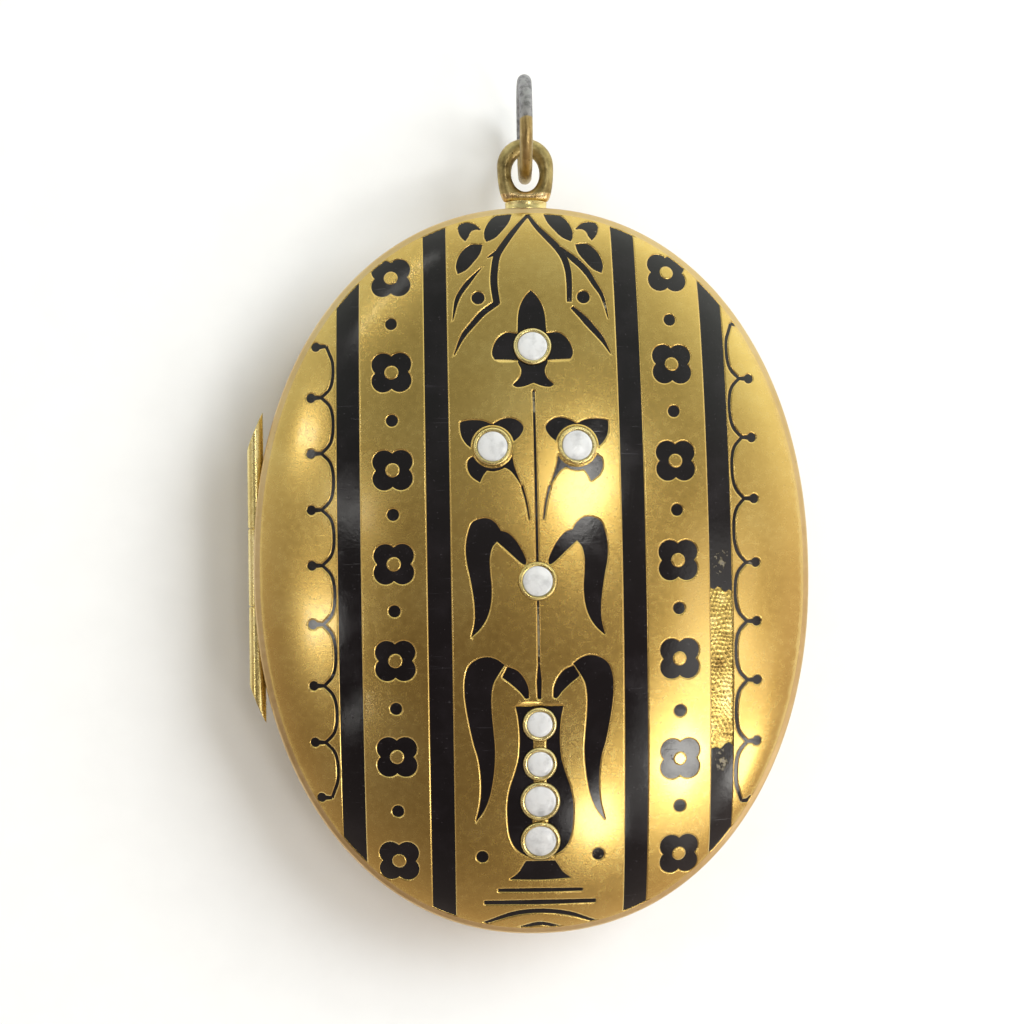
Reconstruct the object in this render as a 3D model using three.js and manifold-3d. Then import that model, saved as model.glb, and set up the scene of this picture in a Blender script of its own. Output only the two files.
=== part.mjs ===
// Oval picture locket, modelled lying on its back in millimetres.
// +Z points out of the enamelled front, +Y points to the bail, +X points away from the hinge.
// The origin is the middle of the small flat oval on the back that the locket rests on.
import * as THREE from 'three';
import { mergeVertices } from 'three/addons/utils/BufferGeometryUtils.js';
import Module from 'manifold-3d';

const wasm = await Module();
wasm.setup();

// ---------- driving dimensions ----------
const BODY_WIDTH = 34.8; // across the closed locket, without the hinge
const BODY_HEIGHT = 45.4; // along the closed locket, without the bail
const BACK_DEPTH = 5.0; // from the rest face up to the parting plane
const FRONT_DEPTH = 4.8; // from the parting plane up to the crown of the front
const OVAL_POWER = 2.14; // 2 is a plain ellipse, more is squarer
const DOME_POWER = 0.8; // how sharply the domes turn down at their edge
const REST_SHARE = 0.42; // share of the back that is flat

const RIM_WIDTH = 0.45; // the rolled rim outside each dome
const RIM_HEIGHT = 1.1; // from the parting plane to the edge of the dome
const COVER_WALL = 0.55; // sheet thickness of a cover
const RIM_WALL = 0.65; // extra material inside the rolled rim
const INNER_EDGE_DROP = 0.2; // from the edge of the outer dome down to the edge of the inner one
const PARTING_GAP = 0.04; // between the two covers when shut

const FLANGE_WALL = 0.2; // thin wall that the front snaps over
const FLANGE_RISE = 0.4; // how far it stands above the parting plane
const FLANGE_ROOT = 0.85; // how far it goes down inside the back
const SLIP = 0.05; // clearance between pieces that slide or seat
const LAY = 0.04; // clearance between pieces laid on each other
const SEAT_GAP = 0.13; // between the flange and a seat ring, so the hinge can swing
const SEAT_WIDTH = 0.82; // width of the ring that a bezel snaps into
const SEAT_HEIGHT = 0.74;
const LINING_THICK = 0.18;
const PAPER_THICK = 0.1;
const GLASS_THICK = 0.3;
const BEZEL_WALL = 0.2;
const BEZEL_LIP = 0.65; // how far the bezel reaches over the glass
const BEZEL_LIP_THICK = 0.24;

const BARREL_RADIUS = 0.5; // the three hinge knuckles
const BORE_RADIUS = 0.26;
const PIN_RADIUS = 0.22;
const HINGE_LENGTH = 20.7;
const HINGE_MIDDLE = 4.8; // length of the knuckle on the front cover
const HINGE_OFFSET = 0.32; // the hinge sits this far above the middle of the side
const HINGE_INSET = 0.12; // of the pin's axis inside the outermost edge of the rim
const HINGE_TAPER = 2.4; // the outer ends are filed off on a slant this long

const COLLAR_RADIUS = 1.35;
const COLLAR_LENGTH = 0.5; // from the rim to the foot of the bail loop
const COLLAR_SQUASH = 0.62; // the collar is an oval this much thinner than wide
const BAIL_OUTER = 1.8;
const BAIL_THICK = 0.86;
const BAIL_FOOT_SHARE = 0.85; // half width of the foot, as a share of the collar's radius
const BAIL_FOOT = 2.3; // from the middle of the loop down to its flat foot
const BAIL_HOLE_WIDTH = 1.8;
const BAIL_HOLE_HEIGHT = 2.32;
const BAIL_HOLE_DROP = 0.46; // the hole is this far below the middle of the loop
const BAIL_SHOULDER = 40; // degrees under its middle where the round part meets the foot
const BAIL_DROP = 0.5; // the bail's mid-plane is this far under the parting plane
const RING_OUTER = 3.45;
const RING_WIRE = 0.9;
const RING_REACH = 2.35; // from the middle of the bail loop to the middle of the ring
const RING_TURN = 1; // degrees that the ring leans about the locket's long axis

const ENAMEL_DEPTH = 0.18;
const INLAY_GAP = 0.03;
const STRIPE_WIDTH = 1.42;
const STRIPE_MIDDLES = { inner: 5.88, outer: 11.3 }; // distances from the centre line
const NICK_LENGTH = 5.2; // thumbnail nick opposite the hinge
const NICK_HEIGHT = 0.7;
const NICK_DEPTH = 0.4;

const COLLET_WALL = 0.24;
const COLLET_RISE = 0.12;
const PEARL_RISE = 0.16;
const PEARL_SEAT = 0.28; // how deep a pearl and its collet sit in the cover
const PEARL_SLIP = 0.02;
const VASE_TOP = -9.38; // the first pearl of the vase
const VASE_RADII = [0.77, 0.77, 0.95, 0.95];
const VASE_WEBS = [0.36, 0.05, 0.05]; // gaps between neighbouring collets
const SINGLE_PEARLS = [
  { name: 'fleur', x: 0, y: 13.5, radius: 0.9 },
  { name: 'pansy_left', x: -2.56, y: 7.36, radius: 0.9 },
  { name: 'pansy_right', x: 2.56, y: 7.36, radius: 0.9 },
  { name: 'centre', x: 0, y: -0.78, radius: 0.9 },
];

// ---------- worked-out dimensions ----------
const SEGMENTS = 48; // round the oval pieces
const PEARL_SEGMENTS = 16;
const SEAT_SEGMENTS = 20;
const HINGE_SEGMENTS = 20;
const GROOVE_SEGMENTS = 32;
const PIN_SEGMENTS = 12;
const COLLAR_SEGMENTS = 24;
const BAIL_SEGMENTS = 24;
const RING_SEGMENTS = 40;
const WIRE_SEGMENTS = 10;
const NICK_SEGMENTS = 16;
const DOME_STEPS = 8;
const SLOPE_STEP = 0.05; // over which the dome's slope is measured
const SAFE = 10; // how far cutters reach past what they cut
const HALF_WIDTH = BODY_WIDTH / 2;
const HALF_HEIGHT = BODY_HEIGHT / 2;
const PARTING_Z = BACK_DEPTH;
const DOME_RADIUS = HALF_WIDTH - RIM_WIDTH;
const DOME_STRETCH = (HALF_HEIGHT - RIM_WIDTH) / DOME_RADIUS;
const INNER_RADIUS = DOME_RADIUS - RIM_WALL;
const FLANGE_OUTER = INNER_RADIUS - SLIP;
const SEAT_OUTER = FLANGE_OUTER - FLANGE_WALL - SEAT_GAP;
const SEAT_INNER = SEAT_OUTER - SEAT_WIDTH;
const BEZEL_OUTER = SEAT_INNER - SLIP;
const HINGE_X = -HALF_WIDTH + HINGE_INSET;
const BAIL_Z = PARTING_Z - BAIL_DROP;
const BAIL_FOOT_Y = HALF_HEIGHT + SLIP + COLLAR_LENGTH;
const BAIL_Y = BAIL_FOOT_Y + SLIP + BAIL_FOOT;

const GILT = { color: 0xb8954a, metalness: 1, roughness: 0.35 };
const ANTIQUE = { color: 0x9a8248, metalness: 1, roughness: 0.45 };
const ENAMEL = { color: 0x0c0b0e, metalness: 0, roughness: 0.12 };
const PEARL = { color: 0xeceae4, metalness: 0, roughness: 0.3 };
const PAPER = { color: 0xe9e0cb, metalness: 0, roughness: 0.9 };
const GLASS = { color: 0xdfe8e6, metalness: 0, roughness: 0.05, transparent: true, opacity: 0.35 };

const locket = new THREE.Group();

// ---------- helpers ----------
function addPiece(name, geometry, look) {
  const mesh = new THREE.Mesh(geometry, new THREE.MeshStandardMaterial(look));
  mesh.name = name;
  locket.add(mesh);
  return mesh;
}

function toSolid(geometry) {
  const bare = geometry.clone();
  bare.deleteAttribute('normal');
  bare.deleteAttribute('uv');
  const merged = mergeVertices(bare, 1e-5);
  const mesh = new wasm.Mesh({
    numProp: 3,
    vertProperties: new Float32Array(merged.attributes.position.array),
    triVerts: new Uint32Array(merged.index.array),
  });
  return new wasm.Manifold(mesh);
}

function toGeometry(solid) {
  const mesh = solid.getMesh();
  const geometry = new THREE.BufferGeometry();
  geometry.setAttribute('position', new THREE.BufferAttribute(mesh.vertProperties, 3));
  geometry.setIndex(new THREE.BufferAttribute(mesh.triVerts, 1));
  geometry.computeVertexNormals();
  return geometry;
}

// Turns a closed [radius, height] outline about Z and stretches it to the locket's oval.
// Inside the domes everything scales with the oval, and the rim keeps one width all round.
function ovalTurned(outline) {
  const points = outline.map(([radius, height]) => new THREE.Vector2(radius, height));
  const geometry = new THREE.LatheGeometry(points, SEGMENTS);
  geometry.rotateX(Math.PI / 2);
  const position = geometry.attributes.position;
  for (let i = 0; i < position.count; i += 1) {
    const x = position.getX(i);
    const y = position.getY(i);
    const radius = Math.hypot(x, y);
    if (radius > 1e-6) {
      const acrossX = Math.sign(x) * Math.abs(x / radius) ** (2 / OVAL_POWER);
      const acrossY = Math.sign(y) * Math.abs(y / radius) ** (2 / OVAL_POWER);
      const inDome = Math.min(radius, DOME_RADIUS);
      const inRim = radius - inDome;
      position.setXY(i, radius * acrossX, (inDome * DOME_STRETCH + inRim) * acrossY);
    }
  }
  return geometry;
}

// Height of a dome above its own edge, at a share of the way from the middle to that edge.
function domeShare(share, flatShare = 0) {
  const along = Math.max(0, share - flatShare) / (1 - flatShare);
  return Math.max(0, 1 - along ** 2) ** DOME_POWER;
}

// Points of a dome from its middle out to its edge, closer together where it curves most.
function domeOutline(radius, edgeHeight, rise, flatShare = 0) {
  const outline = [[0, edgeHeight + rise]];
  for (let i = flatShare > 0 ? 0 : 1; i <= DOME_STEPS; i += 1) {
    const along = Math.sin((i / DOME_STEPS) * (Math.PI / 2));
    const share = flatShare + (1 - flatShare) * along;
    outline.push([radius * share, edgeHeight + rise * domeShare(share, flatShare)]);
  }
  return outline;
}

// ---------- covers ----------
function coverOutline(depth, flatShare) {
  const outer = domeOutline(DOME_RADIUS, RIM_HEIGHT, depth - RIM_HEIGHT, flatShare);
  const rim = [
    [HALF_WIDTH - 0.46 * RIM_WIDTH, 0.93 * RIM_HEIGHT],
    [HALF_WIDTH - 0.15 * RIM_WIDTH, 0.77 * RIM_HEIGHT],
    [HALF_WIDTH, 0.54 * RIM_HEIGHT],
    [HALF_WIDTH, 0.23 * RIM_HEIGHT],
    [HALF_WIDTH - 0.18 * RIM_WIDTH, PARTING_GAP / 2],
    [INNER_RADIUS, PARTING_GAP / 2],
  ];
  const innerEdge = RIM_HEIGHT - INNER_EDGE_DROP;
  const inner = domeOutline(INNER_RADIUS, innerEdge, depth - COVER_WALL - innerEdge, flatShare);
  return [...outer, ...rim, ...inner.reverse()];
}

// Makes an outline measured outward from the parting plane into a front or a back piece.
function halfOutline(outline, isFront) {
  const side = isFront ? 1 : -1;
  const placed = outline.map(([radius, height]) => [radius, PARTING_Z + side * height]);
  return isFront ? placed.reverse() : placed;
}

function domeHeight(x, y) {
  const acrossX = Math.abs(x / DOME_RADIUS) ** OVAL_POWER;
  const acrossY = Math.abs(y / (DOME_RADIUS * DOME_STRETCH)) ** OVAL_POWER;
  const share = (acrossX + acrossY) ** (1 / OVAL_POWER);
  return PARTING_Z + RIM_HEIGHT + (FRONT_DEPTH - RIM_HEIGHT) * domeShare(share);
}

function domeNormal(x, y) {
  const slopeX = (domeHeight(x + SLOPE_STEP, y) - domeHeight(x - SLOPE_STEP, y)) / (2 * SLOPE_STEP);
  const slopeY = (domeHeight(x, y + SLOPE_STEP) - domeHeight(x, y - SLOPE_STEP)) / (2 * SLOPE_STEP);
  return new THREE.Vector3(-slopeX, -slopeY, 1).normalize();
}

// The space under the front dome, lowered by a drop, down to the parting plane.
function underDome(drop) {
  const outline = domeOutline(DOME_RADIUS, RIM_HEIGHT - drop, FRONT_DEPTH - RIM_HEIGHT);
  return toSolid(ovalTurned(halfOutline([...outline, [DOME_RADIUS, 0], [0, 0]], true)));
}

function ovalPrism(inset) {
  const radius = DOME_RADIUS - inset;
  const outline = [[0, SAFE], [radius, SAFE], [radius, 0], [0, 0]];
  return toSolid(ovalTurned(halfOutline(outline, true)));
}

function barrelGroove() {
  const length = HINGE_LENGTH + 2 * SLIP;
  const radius = BARREL_RADIUS + SLIP;
  const groove = new THREE.CylinderGeometry(radius, radius, length, GROOVE_SEGMENTS);
  groove.translate(HINGE_X, HINGE_OFFSET, PARTING_Z);
  return toSolid(groove);
}

// ---------- enamel stripes ----------
function stripePrism(middle, widen) {
  const box = new THREE.BoxGeometry(STRIPE_WIDTH + 2 * widen, 2 * BODY_HEIGHT, 2 * SAFE);
  box.translate(middle, 0, PARTING_Z + SAFE);
  return toSolid(box).intersect(ovalPrism(-widen + INLAY_GAP));
}

function stripeRecess(middle) {
  return stripePrism(middle, INLAY_GAP).subtract(underDome(ENAMEL_DEPTH));
}

function stripeInlay(middle) {
  const fill = stripePrism(middle, 0).intersect(underDome(0));
  return fill.subtract(underDome(ENAMEL_DEPTH - INLAY_GAP));
}

const stripes = [];
for (const [place, distance] of Object.entries(STRIPE_MIDDLES)) {
  stripes.push({ name: `enamel_stripe_left_${place}`, middle: -distance });
  stripes.push({ name: `enamel_stripe_right_${place}`, middle: distance });
}

// ---------- pearls and collets ----------
const pearls = SINGLE_PEARLS.map((pearl) => ({ ...pearl }));
let vaseY = VASE_TOP;
VASE_RADII.forEach((radius, i) => {
  if (i > 0) {
    vaseY -= VASE_RADII[i - 1] + radius + 2 * (COLLET_WALL + PEARL_SLIP) + VASE_WEBS[i - 1];
  }
  pearls.push({ name: `vase_${i + 1}`, x: 0, y: vaseY, radius });
});

// Stands a geometry made about +Y on the front dome, square to the surface.
function standOnDome(geometry, x, y) {
  const turn = new THREE.Quaternion();
  turn.setFromUnitVectors(new THREE.Vector3(0, 1, 0), domeNormal(x, y));
  geometry.applyQuaternion(turn);
  geometry.translate(x, y, domeHeight(x, y));
  return geometry;
}

function pearlSeat({ x, y, radius }) {
  const reach = radius + PEARL_SLIP + COLLET_WALL + INLAY_GAP;
  const cutter = new THREE.CylinderGeometry(reach, reach, SAFE, SEAT_SEGMENTS);
  cutter.translate(0, SAFE / 2 - PEARL_SEAT, 0);
  return toSolid(standOnDome(cutter, x, y));
}

function turnedOnDome(outline, pearl) {
  const points = outline.map(([radius, height]) => new THREE.Vector2(radius, height));
  return standOnDome(new THREE.LatheGeometry(points, PEARL_SEGMENTS), pearl.x, pearl.y);
}

function addPearl(pearl) {
  const floor = -PEARL_SEAT + INLAY_GAP;
  const stone = [
    [0, floor],
    [pearl.radius, floor],
    [pearl.radius, 0.3 * PEARL_RISE],
    [0.85 * pearl.radius, 0.7 * PEARL_RISE],
    [0.5 * pearl.radius, 0.93 * PEARL_RISE],
    [0, PEARL_RISE],
  ];
  const inside = pearl.radius + PEARL_SLIP;
  const outside = inside + COLLET_WALL;
  const collet = [
    [inside, floor],
    [outside, floor],
    [outside, 0.6 * COLLET_RISE],
    [(inside + outside) / 2, COLLET_RISE],
    [inside, 0.8 * COLLET_RISE],
    [inside, floor],
  ];
  addPiece(`pearl_${pearl.name}`, turnedOnDome(stone, pearl), PEARL);
  addPiece(`collet_${pearl.name}`, turnedOnDome(collet, pearl), GILT);
}

// ---------- the two covers with everything cut into them ----------
function frontCover() {
  let cover = toSolid(ovalTurned(halfOutline(coverOutline(FRONT_DEPTH, 0), true)));
  cover = cover.subtract(barrelGroove());
  for (const stripe of stripes) {
    cover = cover.subtract(stripeRecess(stripe.middle));
  }
  for (const pearl of pearls) {
    cover = cover.subtract(pearlSeat(pearl));
  }
  const nick = new THREE.SphereGeometry(1, NICK_SEGMENTS, NICK_SEGMENTS / 2);
  nick.scale(NICK_DEPTH, NICK_LENGTH / 2, NICK_HEIGHT / 2);
  nick.translate(HALF_WIDTH, 0, PARTING_Z);
  return cover.subtract(toSolid(nick));
}

function backCover() {
  const cover = toSolid(ovalTurned(halfOutline(coverOutline(BACK_DEPTH, REST_SHARE), false)));
  return cover.subtract(barrelGroove());
}

addPiece('back_cover', toGeometry(backCover()), GILT);
addPiece('front_cover', toGeometry(frontCover()), GILT);
for (const stripe of stripes) {
  addPiece(stripe.name, toGeometry(stripeInlay(stripe.middle)), ENAMEL);
}
for (const pearl of pearls) {
  addPearl(pearl);
}

// ---------- picture frames inside each half ----------
function closedRing(inner, outer, low, high) {
  return [[inner, low], [outer, low], [outer, high], [inner, high], [inner, low]];
}

function plate(radius, low, high) {
  return [[0, low], [radius, low], [radius, high], [0, high]];
}

function addHalfPiece(name, outline, isFront, look) {
  const placed = halfOutline([...outline].reverse(), isFront);
  addPiece(name, ovalTurned(placed), look);
}

function addPictureFrame(side, isFront) {
  const seatFoot = PARTING_GAP / 2 + LAY;
  const liningFoot = seatFoot + SEAT_HEIGHT + LAY;
  const paperTop = liningFoot - LAY;
  const glassTop = paperTop - PAPER_THICK - LAY;
  const glassFoot = glassTop - GLASS_THICK;
  const lipTop = glassFoot - LAY;
  const lipFoot = lipTop - BEZEL_LIP_THICK;
  const glassRadius = BEZEL_OUTER - BEZEL_WALL - SLIP;
  const lipInner = BEZEL_OUTER - BEZEL_WALL - BEZEL_LIP;
  const bezel = [
    [lipInner, lipFoot],
    [BEZEL_OUTER, lipFoot],
    [BEZEL_OUTER, glassTop],
    [BEZEL_OUTER - BEZEL_WALL, glassTop],
    [BEZEL_OUTER - BEZEL_WALL, lipTop],
    [lipInner, lipTop],
    [lipInner, lipFoot],
  ];
  const seat = closedRing(SEAT_INNER, SEAT_OUTER, seatFoot, seatFoot + SEAT_HEIGHT);
  const lining = plate(SEAT_OUTER, liningFoot, liningFoot + LINING_THICK);
  addHalfPiece(`${side}_seat_ring`, seat, isFront, GILT);
  addHalfPiece(`${side}_lining_plate`, lining, isFront, GILT);
  const paper = plate(BEZEL_OUTER, paperTop - PAPER_THICK, paperTop);
  const glass = plate(glassRadius, glassFoot, glassTop);
  addHalfPiece(`${side}_paper_insert`, paper, isFront, PAPER);
  addHalfPiece(`${side}_glass`, glass, isFront, GLASS);
  addHalfPiece(`${side}_bezel`, bezel, isFront, GILT);
}

addPictureFrame('back', false);
addPictureFrame('front', true);
const flange = closedRing(FLANGE_OUTER - FLANGE_WALL, FLANGE_OUTER, -FLANGE_ROOT, FLANGE_RISE);
addHalfPiece('closing_flange', flange, true, GILT);

// ---------- hinge ----------
// Files both ends of a turned piece off on a slant, where they are the hinge's own ends.
function fileEnds(geometry) {
  const position = geometry.attributes.position;
  for (let i = 0; i < position.count; i += 1) {
    const y = position.getY(i);
    const isEnd = Math.abs(Math.abs(y) - HINGE_LENGTH / 2) < 1e-4;
    if (isEnd) {
      const outward = (BARREL_RADIUS - position.getX(i)) / (2 * BARREL_RADIUS);
      position.setY(i, y - Math.sign(y) * HINGE_TAPER * outward);
    }
  }
  return geometry;
}

function addHingePiece(name, outline, segments, look) {
  const points = outline.map(([radius, along]) => new THREE.Vector2(radius, along));
  const mesh = addPiece(name, fileEnds(new THREE.LatheGeometry(points, segments)), look);
  mesh.position.set(HINGE_X, HINGE_OFFSET, PARTING_Z);
}

const middleEnd = HINGE_MIDDLE / 2;
const outerStart = middleEnd + LAY;
const outerEnd = HINGE_LENGTH / 2;
const knuckle = (low, high) => closedRing(BORE_RADIUS, BARREL_RADIUS, low, high);
addHingePiece('hinge_knuckle_middle', knuckle(-middleEnd, middleEnd), HINGE_SEGMENTS, GILT);
addHingePiece('hinge_knuckle_upper', knuckle(outerStart, outerEnd), HINGE_SEGMENTS, GILT);
addHingePiece('hinge_knuckle_lower', knuckle(-outerEnd, -outerStart), HINGE_SEGMENTS, GILT);
addHingePiece('hinge_pin', plate(PIN_RADIUS, -outerEnd, outerEnd), PIN_SEGMENTS, ANTIQUE);

// ---------- bail and jump ring ----------
function bailCollar() {
  const outline = [
    [0, 0],
    [COLLAR_RADIUS, 0],
    [COLLAR_RADIUS, 0.25 * COLLAR_LENGTH],
    [0.87 * COLLAR_RADIUS, 0.4 * COLLAR_LENGTH],
    [0.87 * COLLAR_RADIUS, 0.6 * COLLAR_LENGTH],
    [0.97 * COLLAR_RADIUS, 0.78 * COLLAR_LENGTH],
    [0.9 * COLLAR_RADIUS, COLLAR_LENGTH],
    [0, COLLAR_LENGTH],
  ];
  const points = outline.map(([radius, along]) => new THREE.Vector2(radius, along));
  return new THREE.LatheGeometry(points, COLLAR_SEGMENTS);
}

function arcPoints(radiusX, radiusY, middleY, from, to, steps) {
  const points = [];
  for (let i = 0; i <= steps; i += 1) {
    const angle = from + ((to - from) * i) / steps;
    points.push(new THREE.Vector2(radiusX * Math.cos(angle), middleY + radiusY * Math.sin(angle)));
  }
  return points;
}

function bailLoop() {
  const foot = BAIL_FOOT_SHARE * COLLAR_RADIUS;
  const shoulder = THREE.MathUtils.degToRad(BAIL_SHOULDER);
  const outline = [new THREE.Vector2(-foot, -BAIL_FOOT), new THREE.Vector2(foot, -BAIL_FOOT)];
  outline.push(...arcPoints(BAIL_OUTER, BAIL_OUTER, 0, -shoulder, Math.PI + shoulder, BAIL_SEGMENTS));
  const shape = new THREE.Shape(outline);
  const turn = 2 * Math.PI;
  const holeX = BAIL_HOLE_WIDTH / 2;
  const holeY = BAIL_HOLE_HEIGHT / 2;
  const lastStep = BAIL_SEGMENTS - 1;
  const hole = arcPoints(holeX, holeY, -BAIL_HOLE_DROP, turn, turn / BAIL_SEGMENTS, lastStep);
  shape.holes.push(new THREE.Path(hole));
  const bevel = Math.min(0.3 * BAIL_THICK, 0.4 * (BAIL_FOOT - holeY - BAIL_HOLE_DROP));
  const geometry = new THREE.ExtrudeGeometry(shape, {
    depth: BAIL_THICK - 2 * bevel,
    bevelThickness: bevel,
    bevelSize: bevel,
    bevelOffset: -bevel,
    bevelSegments: 2,
  });
  geometry.translate(0, 0, bevel - BAIL_THICK / 2);
  return geometry;
}

const collar = addPiece('bail_collar', bailCollar(), GILT);
collar.scale.set(1, 1, COLLAR_SQUASH);
collar.position.set(0, HALF_HEIGHT + SLIP, BAIL_Z);
const loop = addPiece('bail_loop', bailLoop(), ANTIQUE);
loop.position.set(0, BAIL_Y, BAIL_Z);

const wireRadius = RING_WIRE / 2;
const jumpRing = new THREE.TorusGeometry(RING_OUTER - wireRadius, wireRadius, WIRE_SEGMENTS, RING_SEGMENTS);
const ring = addPiece('jump_ring', jumpRing, ANTIQUE);
ring.rotation.y = Math.PI / 2 + THREE.MathUtils.degToRad(RING_TURN);
ring.position.set(0, BAIL_Y + RING_REACH, BAIL_Z);

export default locket;
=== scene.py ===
"""An oval picture locket with an engraved and black-enamelled front, set with white pearls.

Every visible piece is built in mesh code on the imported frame. Lengths here are in millimetres in the
frame's own axes: +Z out of the front, +Y to the bail, +X away from the hinge. add_mesh makes them metres.
"""

import math

import bmesh
import bpy
import numpy as np
from mathutils import Matrix, Vector
from mathutils.geometry import delaunay_2d_cdt
from mathutils.kdtree import KDTree


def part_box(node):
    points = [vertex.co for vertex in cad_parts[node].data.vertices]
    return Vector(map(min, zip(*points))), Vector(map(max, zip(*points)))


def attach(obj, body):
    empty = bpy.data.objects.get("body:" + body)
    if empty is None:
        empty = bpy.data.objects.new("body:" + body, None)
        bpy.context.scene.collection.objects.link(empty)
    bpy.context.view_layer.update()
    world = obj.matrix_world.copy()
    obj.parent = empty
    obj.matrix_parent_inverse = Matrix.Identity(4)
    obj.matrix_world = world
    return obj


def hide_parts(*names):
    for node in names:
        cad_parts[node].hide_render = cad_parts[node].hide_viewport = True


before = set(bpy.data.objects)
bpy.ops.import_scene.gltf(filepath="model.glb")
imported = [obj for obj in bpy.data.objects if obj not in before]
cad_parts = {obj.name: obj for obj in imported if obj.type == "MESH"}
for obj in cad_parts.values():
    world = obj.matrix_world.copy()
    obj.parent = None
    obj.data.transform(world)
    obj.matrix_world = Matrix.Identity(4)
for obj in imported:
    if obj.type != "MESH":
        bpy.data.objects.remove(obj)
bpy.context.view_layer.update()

MM = 0.001
WELD = 0.002  # points closer than this are one point
NEAR_AXIS = 0.001  # the radius at which a turned shape closes
SHARP_ANGLE = 38  # degrees between faces, above which an edge is sharp


def box_mm(node):
    """Lowest corner, highest corner and middle of a CAD node, in millimetres."""
    low, high = (np.array(corner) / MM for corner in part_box(node))
    return low, high, (low + high) / 2


# ---------- sizes taken from the frame ----------
back_low, back_high, _ = box_mm("back_cover")
front_low, front_high, _ = box_mm("front_cover")
HALF_WIDTH = back_high[0]
HALF_HEIGHT = back_high[1]
PARTING_Z = (front_low[2] + back_high[2]) / 2
PARTING_GAP = front_low[2] - back_high[2]
FRONT_DEPTH = front_high[2] - PARTING_Z
BACK_DEPTH = PARTING_Z - back_low[2]
pin_low, pin_high, pin_middle = box_mm("hinge_pin")
HINGE_X = pin_middle[0]
barrel_low, barrel_high, _ = box_mm("hinge_knuckle_upper")
BARREL_RADIUS = (barrel_high[0] - barrel_low[0]) / 2

# ---------- sizes of the covers ----------
OVAL_POWER = 2.14  # 2 would be an ellipse, and more is squarer
DOME_POWER = 0.8  # how round the domes are
REST_SHARE = 0.42  # of the dome's radius, over which the back is flat
RIM_WIDTH = 0.45
RIM_HEIGHT = 1.1
RIM_WALL = 0.65
COVER_WALL = 0.55
INNER_EDGE = RIM_HEIGHT - 0.2  # height of the inside at its edge
DOME_RADIUS = HALF_WIDTH - RIM_WIDTH
DOME_HALF_HEIGHT = HALF_HEIGHT - RIM_WIDTH
INNER_RADIUS = DOME_RADIUS - RIM_WALL
EDGE_POINTS = 320  # round the edge of the dome
MOTIF_EDGE = 0.06  # motifs stop this far inside the edge of the dome

# ---------- sizes of the engraving ----------
EDGE_DROP = 0.05  # how far the rounded gold edge of a motif falls
EDGE_WIDTH = 0.1  # over this width
ENAMEL_DROP = 0.055  # enamel surface under the gold surface
RECESS_DEPTH = 0.16
INLAY_GAP = 0.01  # between the enamel and the floor of its recess
LINE_STEP = 0.11  # spacing of points along an outline
GRID_STEP = 0.45  # spacing of points in open metal
STIPPLE_STEP = 0.075  # spacing of points in the bare ground
STIPPLE_PITCH = 0.26  # from one punched dot to the next
STIPPLE_DEPTH = 0.06
BARE_RISE = 0.06  # how much higher the bare ground lies than the floor of a recess


# ---------- shape helpers ----------
def oval_point(radius, angle):
    """A circle of that radius stretched to the locket's oval, with a rim of one width all round."""
    cosine, sine = math.cos(angle), math.sin(angle)
    across_x = math.copysign(abs(cosine) ** (2 / OVAL_POWER), cosine)
    across_y = math.copysign(abs(sine) ** (2 / OVAL_POWER), sine)
    in_dome = min(radius, DOME_RADIUS)
    in_rim = radius - in_dome
    stretched = in_dome * DOME_HALF_HEIGHT / DOME_RADIUS + in_rim
    return radius * across_x, stretched * across_y


def oval_share(x, y):
    """0 in the middle of the dome and 1 at its edge."""
    across_x = np.abs(np.asarray(x) / DOME_RADIUS) ** OVAL_POWER
    across_y = np.abs(np.asarray(y) / DOME_HALF_HEIGHT) ** OVAL_POWER
    return (across_x + across_y) ** (1 / OVAL_POWER)


def dome_share(share, flat=0.0):
    """Height of a dome, 1 in the middle and 0 at its edge, with a flat middle of the given share."""
    along = np.maximum(0, np.asarray(share) - flat) / (1 - flat)
    return np.maximum(0, 1 - along**2) ** DOME_POWER


def dome_z(x, y):
    """Height of the front's surface, before it is engraved."""
    rise = (FRONT_DEPTH - RIM_HEIGHT) * dome_share(oval_share(x, y))
    return PARTING_Z + RIM_HEIGHT + rise


def dome_slope(x, y):
    """How fast the dome rises towards +X and towards +Y."""
    step = 0.02
    slope_x = (dome_z(x + step, y) - dome_z(x - step, y)) / (2 * step)
    slope_y = (dome_z(x, y + step) - dome_z(x, y - step)) / (2 * step)
    return slope_x, slope_y


def spline(points, step=LINE_STEP):
    """Points along a smooth curve through the given ones, about a step apart."""
    p = np.array(points, float)
    if len(p) == 2:
        count = max(1, round(np.linalg.norm(p[1] - p[0]) / step))
        return [tuple(p[0] + (p[1] - p[0]) * i / count) for i in range(count + 1)]
    ends = [2 * p[0] - p[1], *p, 2 * p[-1] - p[-2]]
    out = []
    for a, b, c, d in zip(ends, ends[1:], ends[2:], ends[3:]):
        knots = [0.0]
        for first, second in ((a, b), (b, c), (c, d)):
            knots.append(knots[-1] + max(1e-4, np.linalg.norm(second - first)) ** 0.5)
        t0, t1, t2, t3 = knots
        count = max(1, round(np.linalg.norm(c - b) / step))
        for i in range(count):
            t = t1 + (t2 - t1) * i / count
            a1 = a * (t1 - t) / (t1 - t0) + b * (t - t0) / (t1 - t0)
            a2 = b * (t2 - t) / (t2 - t1) + c * (t - t1) / (t2 - t1)
            a3 = c * (t3 - t) / (t3 - t2) + d * (t - t2) / (t3 - t2)
            b1 = a1 * (t2 - t) / (t2 - t0) + a2 * (t - t0) / (t2 - t0)
            b2 = a2 * (t3 - t) / (t3 - t1) + a3 * (t - t1) / (t3 - t1)
            out.append(tuple(b1 * (t2 - t) / (t2 - t1) + b2 * (t - t1) / (t2 - t1)))
    out.append(tuple(p[-1]))
    return out


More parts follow.
